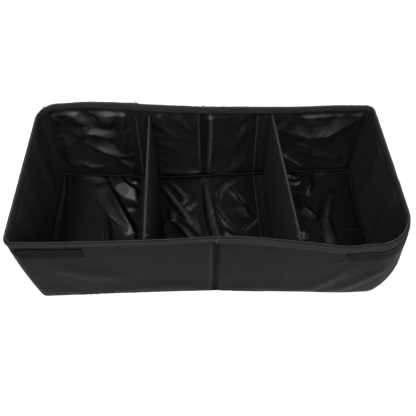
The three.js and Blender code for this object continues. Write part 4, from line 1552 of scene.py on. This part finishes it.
@dataclass
class ClosureStrips:
    """The strips that hold the folded box shut: hooks at the left of the front wall, loops at the right."""

    wall: WallShape
    finishes: Finishes
    width: float = 22.5
    length: float = 86.0
    thickness: float = 1.4
    below_rim: float = 13.0
    from_seam: float = 14.0

    def build(self) -> None:
        """Makes both strips."""
        m = self.wall.marks
        starts = {
            "hook": m["front_left"] - self.wall.round + self.from_seam,
            "loop": m["front_right"] - self.from_seam - self.length,
        }
        for kind, start in starts.items():
            finish = self.finishes.hooks if kind == "hook" else self.finishes.loops

            def place(u: Array, v: Array, start: float = start) -> Array:
                """The strip's outer face."""
                lifted = (1.0 - smooth(u, 0.0, 0.16)) * (start > 0.0)
                s = start + u * self.length - 9.0 * lifted * v
                drop = self.below_rim + self.width * (1 - v) - 0.6 * np.sin(u * 7.0 + 1.0)
                soft = 0.25 * rumple(u * self.length, v * self.width, 9.0, 61.0, False)
                proud = AIR + 1.8 * lifted + self.thickness + soft
                return self.wall.point(s, self.wall.rim_height(s) - drop, -proud)

            strip = mapped_sheet(f"closure_{kind}_tape", (86, 20), (self.length, self.width), place)
            thicken(strip, self.thickness - 0.1)
            dress(strip, Body.BOX, finish, [f"closure_{kind}_strip"])
            border = [(0.02, 0.1), (0.98, 0.1), (0.98, 0.9), (0.02, 0.9), (0.02, 0.1)]
            walk = np.linspace(0, 4, 400)
            u = np.interp(walk, range(5), [b[0] for b in border])
            v = np.interp(walk, range(5), [b[1] for b in border])
            row = place(u, v)
            seam = stitch_rows(f"closure_{kind}_stitches", [row], *STRIP_STITCH)
            dress(seam, Body.BOX, self.finishes.thread)


@dataclass
class Divider:
    """A divider across the box: cloth over a board, a bound top edge, and flanges of hook tape turned left."""

    wall: WallShape
    walls: Walls
    finishes: Finishes
    body: Body
    rim_places: tuple[float, float]
    floor_places: tuple[float, float]
    below_rim: tuple[float, float]
    seed: float
    threads: tuple[int, float]
    half: float = 1.9
    end_depth: float = 8.3
    foot: float = 7.7
    flange_width: float = 25.0
    flange_depth: float = 6.2
    flange_thick: float = 1.2
    flange_map: float = 27.0
    cloth_thick: float = 0.5
    # The binding: the share of each side that goes over the edge, half its width there, and how far down it reaches
    edge_share: float = 0.3
    edge_half: float = 1.5
    edge_leg: float = 9.0
    edge_seam: float = 7.4
    levels: Array = field(init=False)
    ends: list[Array] = field(init=False)
    tops: tuple[float, float] = field(init=False)

    def __post_init__(self) -> None:
        """Finds where the divider meets the front and back walls at each level."""
        self.levels = np.linspace(self.foot, WALL_HEIGHT, 40)
        self.ends = []
        heights = []
        for share, name in enumerate(("front", "back")):
            start, end = self.walls.spans[name]
            x = self.plane_x(np.full(self.levels.shape, float(share)), self.levels)
            s = self.wall.distance_at_x(start, end, x, self.levels, self.end_depth)
            clear = np.maximum(0.0, self.foot + 4.6 - self.levels)
            self.ends.append(self.wall.point(s, self.levels, self.end_depth + clear)[:, 1])
            heights.append(float(self.wall.rim_height(s[-1])) - self.below_rim[share])
        self.tops = (heights[0], heights[1])

    def plane_x(self, share: Array, z: Array) -> Array:
        """X of the divider's middle plane at a share from front to back, and at a height."""
        low, high = (
            (ends[0] + (ends[1] - ends[0]) * share) * OUTLINE_SIZES[edge][0]
            for ends, edge in ((self.floor_places, FLOOR), (self.rim_places, RIM))
        )
        return low + (high - low) * z / WALL_HEIGHT + self.wall.shift[0]

    def top(self, share: Array) -> Array:
        """Height of the top edge at a share from front to back."""
        return self.tops[0] + (self.tops[1] - self.tops[0]) * share

    def point(self, share: Array, z: Array, across: Array) -> Array:
        """A point of the divider at a share of its length, a height, and a distance right of its middle plane."""
        front = np.interp(z, self.levels, self.ends[0])
        back = np.interp(z, self.levels, self.ends[1])
        return np.stack([self.plane_x(share, z) + across, front + (back - front) * share, z + 0 * share], -1)

    def build(self) -> None:
        """Makes the divider's pieces."""
        name = self.body.value
        span = DIVIDER_SPAN
        reach = float(np.mean(self.tops)) - self.foot
        cut = 2 * reach + 2 * self.half

        def wrap(u: Array, v: Array) -> Array:
            """The cover: down the left face, under the foot and up the right face."""
            rise = self.top(u) - self.foot
            way = v * cut
            left = way < reach
            right = way > reach + 2 * self.half
            z = np.where(left, self.foot + rise * (1 - way / reach), self.foot)
            z = np.where(right, self.foot + rise * (way - reach - 2 * self.half) / reach, z)
            across = np.where(left, -self.half, np.where(right, self.half, way - reach - self.half))
            soft = 0.35 * rumple(u * span, way, 60.0, self.seed, False) * edge_fade(u * span, z, span, 300.0, 8.0)
            across = across + np.where(left, -1.0, np.where(right, 1.0, 0.0)) * np.clip(soft, -0.1, 0.5)
            return self.point(u, z, across)

        cover = mapped_sheet(f"{name}_cloth", (90, 124), (span, cut), wrap)
        thicken(cover, self.cloth_thick)
        dress(cover, self.body, self.finishes.divider, [f"{name}_cover"])

        def over(u: Array, v: Array) -> Array:
            """The binding, folded over the top edge."""
            turn = (v - 0.5) * 2
            leg = np.clip((np.abs(turn) - self.edge_share) / (1 - self.edge_share), 0.0, 1.0)
            arc = np.clip(np.abs(turn) / self.edge_share, 0.0, 1.0) * math.pi / 2
            wide = self.edge_half + (self.half + AIR + 0.2 - self.edge_half) * leg ** 0.5
            across = np.sign(turn) * wide * np.sin(arc)
            pucker = 0.12 * rumple(u * span, v * 20.0, 6.0, self.seed + 3, False)
            z = self.top(u) + 0.9 * np.cos(arc) - self.edge_leg * leg + pucker * 0.5
            return self.point(u, z, across + np.sign(turn) * pucker)

        tape = mapped_sheet(f"{name}_tape", (160, 20), (span, 22.0), over, flipped=True)
        thicken(tape, self.cloth_thick)
        dress(tape, self.body, self.finishes.edge_tape, [f"{name}_binding"])
        line = np.linspace(0.01, 0.99, 400)
        wide = self.half + AIR + 0.6
        level = self.top(line) - self.edge_seam
        rows = [self.point(line, level, np.full(line.shape, side * wide)) for side in (-1, 1)]
        thread = stitch_rows(f"{name}_stitches", rows, *EDGE_STITCH)
        dress(thread, self.body, self.finishes.thread)
        count, spread = self.threads
        corner = self.point(np.array([0.03]), np.array([self.tops[0]]), np.array([spread * 0.5]))[0]
        ends = loose_threads(f"{name}_thread_ends", corner, count, spread, int(self.seed))
        dress(ends, self.body, self.finishes.frayed)
        for share, wall_name in enumerate(("front", "back")):
            self._flange(share, wall_name)
        self._foot_flange()

    @staticmethod
    def selvedge(u: Array) -> Array:
        """How far a flange's woven edges and its middle rib stand proud, at a share across it."""
        ribs = ((0.12, 0.8), (0.55, 0.5), (0.95, 1.0))
        return sum(rise * np.exp(-(((u - at) / 0.045) ** 2)) for at, rise in ribs)

    def _flange(self, share: int, wall_name: str) -> None:
        """Makes the flange that turns left along the front wall or the back wall."""
        start, end = self.walls.spans[wall_name]
        low, high = self.foot + 12.0, self.tops[share] - 2.0
        levels = np.linspace(low, high, 30)
        x = self.plane_x(np.full(levels.shape, float(share)), levels)
        middles = self.wall.distance_at_x(start, end, x, levels, self.flange_depth)
        to_left = -1.0 if wall_name == "front" else 1.0

        def place(u: Array, v: Array) -> Array:
            """The flange's inner face."""
            z = low + v * (high - low)
            offset = (-self.half + u * (self.flange_width + self.half)) * to_left
            s = np.interp(z, levels, middles) + offset
            soft = 0.3 * rumple(u * self.flange_map, v * 150.0, 14.0, self.seed + 5 + share, False) + self.selvedge(u)
            return self.wall.point(s, z, self.flange_depth + self.flange_thick + np.clip(soft, -0.2, 1.4))

        node = f"{self.body.value}_{wall_name}_flange"
        size = (self.flange_map, high - low)
        piece = mapped_sheet(f"{node}_tape", (18, 90), size, place, flipped=wall_name == "front")
        thicken(piece, self.flange_thick - 0.2)
        dress(piece, self.body, self.finishes.flanges, [node])

    def _foot_flange(self) -> None:
        """Makes the flange that turns left along the floor."""
        low = FLOOR_TOP + AIR + LOOP_STRIP_THICK + AIR
        node = f"{self.body.value}_foot_flange"

        def place(u: Array, v: Array) -> Array:
            """The flange's upper face."""
            foot = self.point(v, np.full(v.shape, self.foot), np.zeros(v.shape))
            foot[:, 0] += self.half - u * (self.flange_width + self.half)
            soft = 0.25 * rumple(u * self.flange_map, v * DIVIDER_SPAN, 14.0, self.seed + 9, False) + self.selvedge(u)
            foot[:, 2] = low + self.flange_thick + np.clip(soft, -0.2, 1.4) * smooth(u, 0.02, 0.1)
            return foot

        piece = mapped_sheet(f"{node}_tape", (18, 120), (self.flange_map, DIVIDER_SPAN), place, flipped=True)
        thicken(piece, self.flange_thick - 0.2)
        dress(piece, self.body, self.finishes.flanges, [node])


# ------------------------------------------------------------
# Studio
# ------------------------------------------------------------


@dataclass(frozen=True)
class Lamp:
    """A square soft lamp that faces a point of the box."""

    name: str
    place: tuple[float, float, float]
    side: float
    power: float
    aim: tuple[float, float, float] = (0.0, 0.0, 0.08)

    def build(self) -> None:
        """Makes the lamp."""
        light = bpy.data.lights.new(self.name, "AREA")
        light.shape = "SQUARE"
        light.size = self.side
        light.energy = self.power
        lamp = linked(self.name, light)
        lamp.location = self.place
        lamp.rotation_mode = "QUATERNION"
        lamp.rotation_quaternion = (Vector(self.aim) - Vector(self.place)).to_track_quat("-Z", "Y")


@dataclass(frozen=True)
class Studio:
    """The floor, the lamps, the plain world and the camera."""

    lens: float = 52.15
    pitch: float = 0.9332
    yaw: float = 0.0693
    roll: float = 0.0425
    stand: tuple[float, float, float] = (-42.27, -608.58, 877.14)
    world_level: float = 0.06
    floor_half: float = 6.0
    backdrop: float = 5.5
    backdrop_height: float = 2.4
    lamps: tuple[Lamp, ...] = (
        Lamp("soft_front", (0.1, -2.2, 1.9), 1.7, 56.0),
        Lamp("soft_left", (-1.15, -0.35, 2.1), 0.9, 26.0),
        Lamp("soft_right", (1.2, -0.3, 2.2), 0.9, 12.0),
        Lamp("soft_back", (0.2, 2.5, 0.95), 1.0, 30.0),
    )

    def camera(self, shift: Array) -> None:
        """Stands the camera where the photograph was taken from.

        Args:
            shift: The wall's shift in X and Y, in millimetres.
        """
        ahead = Vector(
            (
                math.sin(self.yaw) * math.cos(self.pitch),
                math.cos(self.yaw) * math.cos(self.pitch),
                -math.sin(self.pitch),
            )
        )
        level = Vector((math.cos(self.yaw), -math.sin(self.yaw), 0.0))
        up = level.cross(ahead)
        right = level * math.cos(self.roll) + up * math.sin(self.roll)
        head = up * math.cos(self.roll) - level * math.sin(self.roll)
        data = bpy.data.cameras.new("camera")
        data.lens = self.lens
        data.sensor_width = 36.0
        data.clip_start, data.clip_end = 0.05, 50.0
        camera = linked("camera", data)
        turn = Matrix((right, head, -ahead)).transposed().to_4x4()
        place = Vector(self.stand) + Vector((float(shift[0]), float(shift[1]), 0.0))
        camera.matrix_world = Matrix.Translation(place * MM) @ turn
        bpy.context.scene.camera = camera

    def build(self) -> None:
        """Makes the floor, the lamps and the world."""
        bm = bmesh.new()
        bmesh.ops.create_grid(bm, x_segments=8, y_segments=8, size=self.floor_half)
        floor = linked("floor", finished(bm, "floor"))
        floor.location.z = -0.0006
        paint(floor, StudioFloor("studio_floor").material())
        for lamp in self.lamps:
            lamp.build()
        self._backdrop()
        world = bpy.data.worlds.new("plain_world")
        graph = Graph(world)
        values = {"Color": (0.95, 0.97, 1.0, 1.0), "Strength": self.world_level}
        graph.surface(graph.node("ShaderNodeBackground", {}, values))
        bpy.context.scene.world = world
        bpy.context.scene.view_settings.view_transform = "Standard"

    def _backdrop(self) -> None:
        """Stands a low pale wall round the floor's edge, behind the object from every side."""
        bm = bmesh.new()
        reach, high = self.backdrop, self.backdrop_height
        bmesh.ops.create_cone(bm, cap_ends=False, segments=96, radius1=reach, radius2=reach, depth=high)
        bmesh.ops.translate(bm, verts=bm.verts, vec=(0.0, 0.0, high / 2 - 0.01))
        bmesh.ops.reverse_faces(bm, faces=bm.faces)
        backdrop = linked("backdrop", finished(bm, "backdrop"))
        paint(backdrop, StudioFloor("studio_backdrop", glow=0.98).material())


def main() -> None:
    """Builds the box's cloths, tapes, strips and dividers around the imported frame, then the studio."""
    logging.basicConfig(level=logging.INFO, format="%(message)s")
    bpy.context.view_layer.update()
    wall = WallShape()
    studio = Studio()
    studio.camera(wall.shift)
    finishes = Finishes()
    for name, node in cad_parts.items():
        if name.endswith(("_board", "_board_left", "_board_right")):
            paint(node, finishes.board)
        elif "_loop_strip_" in name:
            paint(node, finishes.loops)
    walls = Walls(wall, finishes)
    walls.build()
    FloorCloths(wall, finishes).build()
    Tapes(wall, finishes).build()
    ClosureStrips(wall, finishes).build()
    for places in (
        (Body.LEFT, (-0.167, -0.165), (-0.161, -0.159), (5.0, 15.0), 71.0, (8, 3.0)),
        (Body.RIGHT, (0.216, 0.186), (0.211, 0.202), (5.0, 9.0), 77.0, (26, 6.4)),
    ):
        Divider(wall, walls, finishes, *places).build()
    studio.build()


if __name__ == "__main__":
    main()
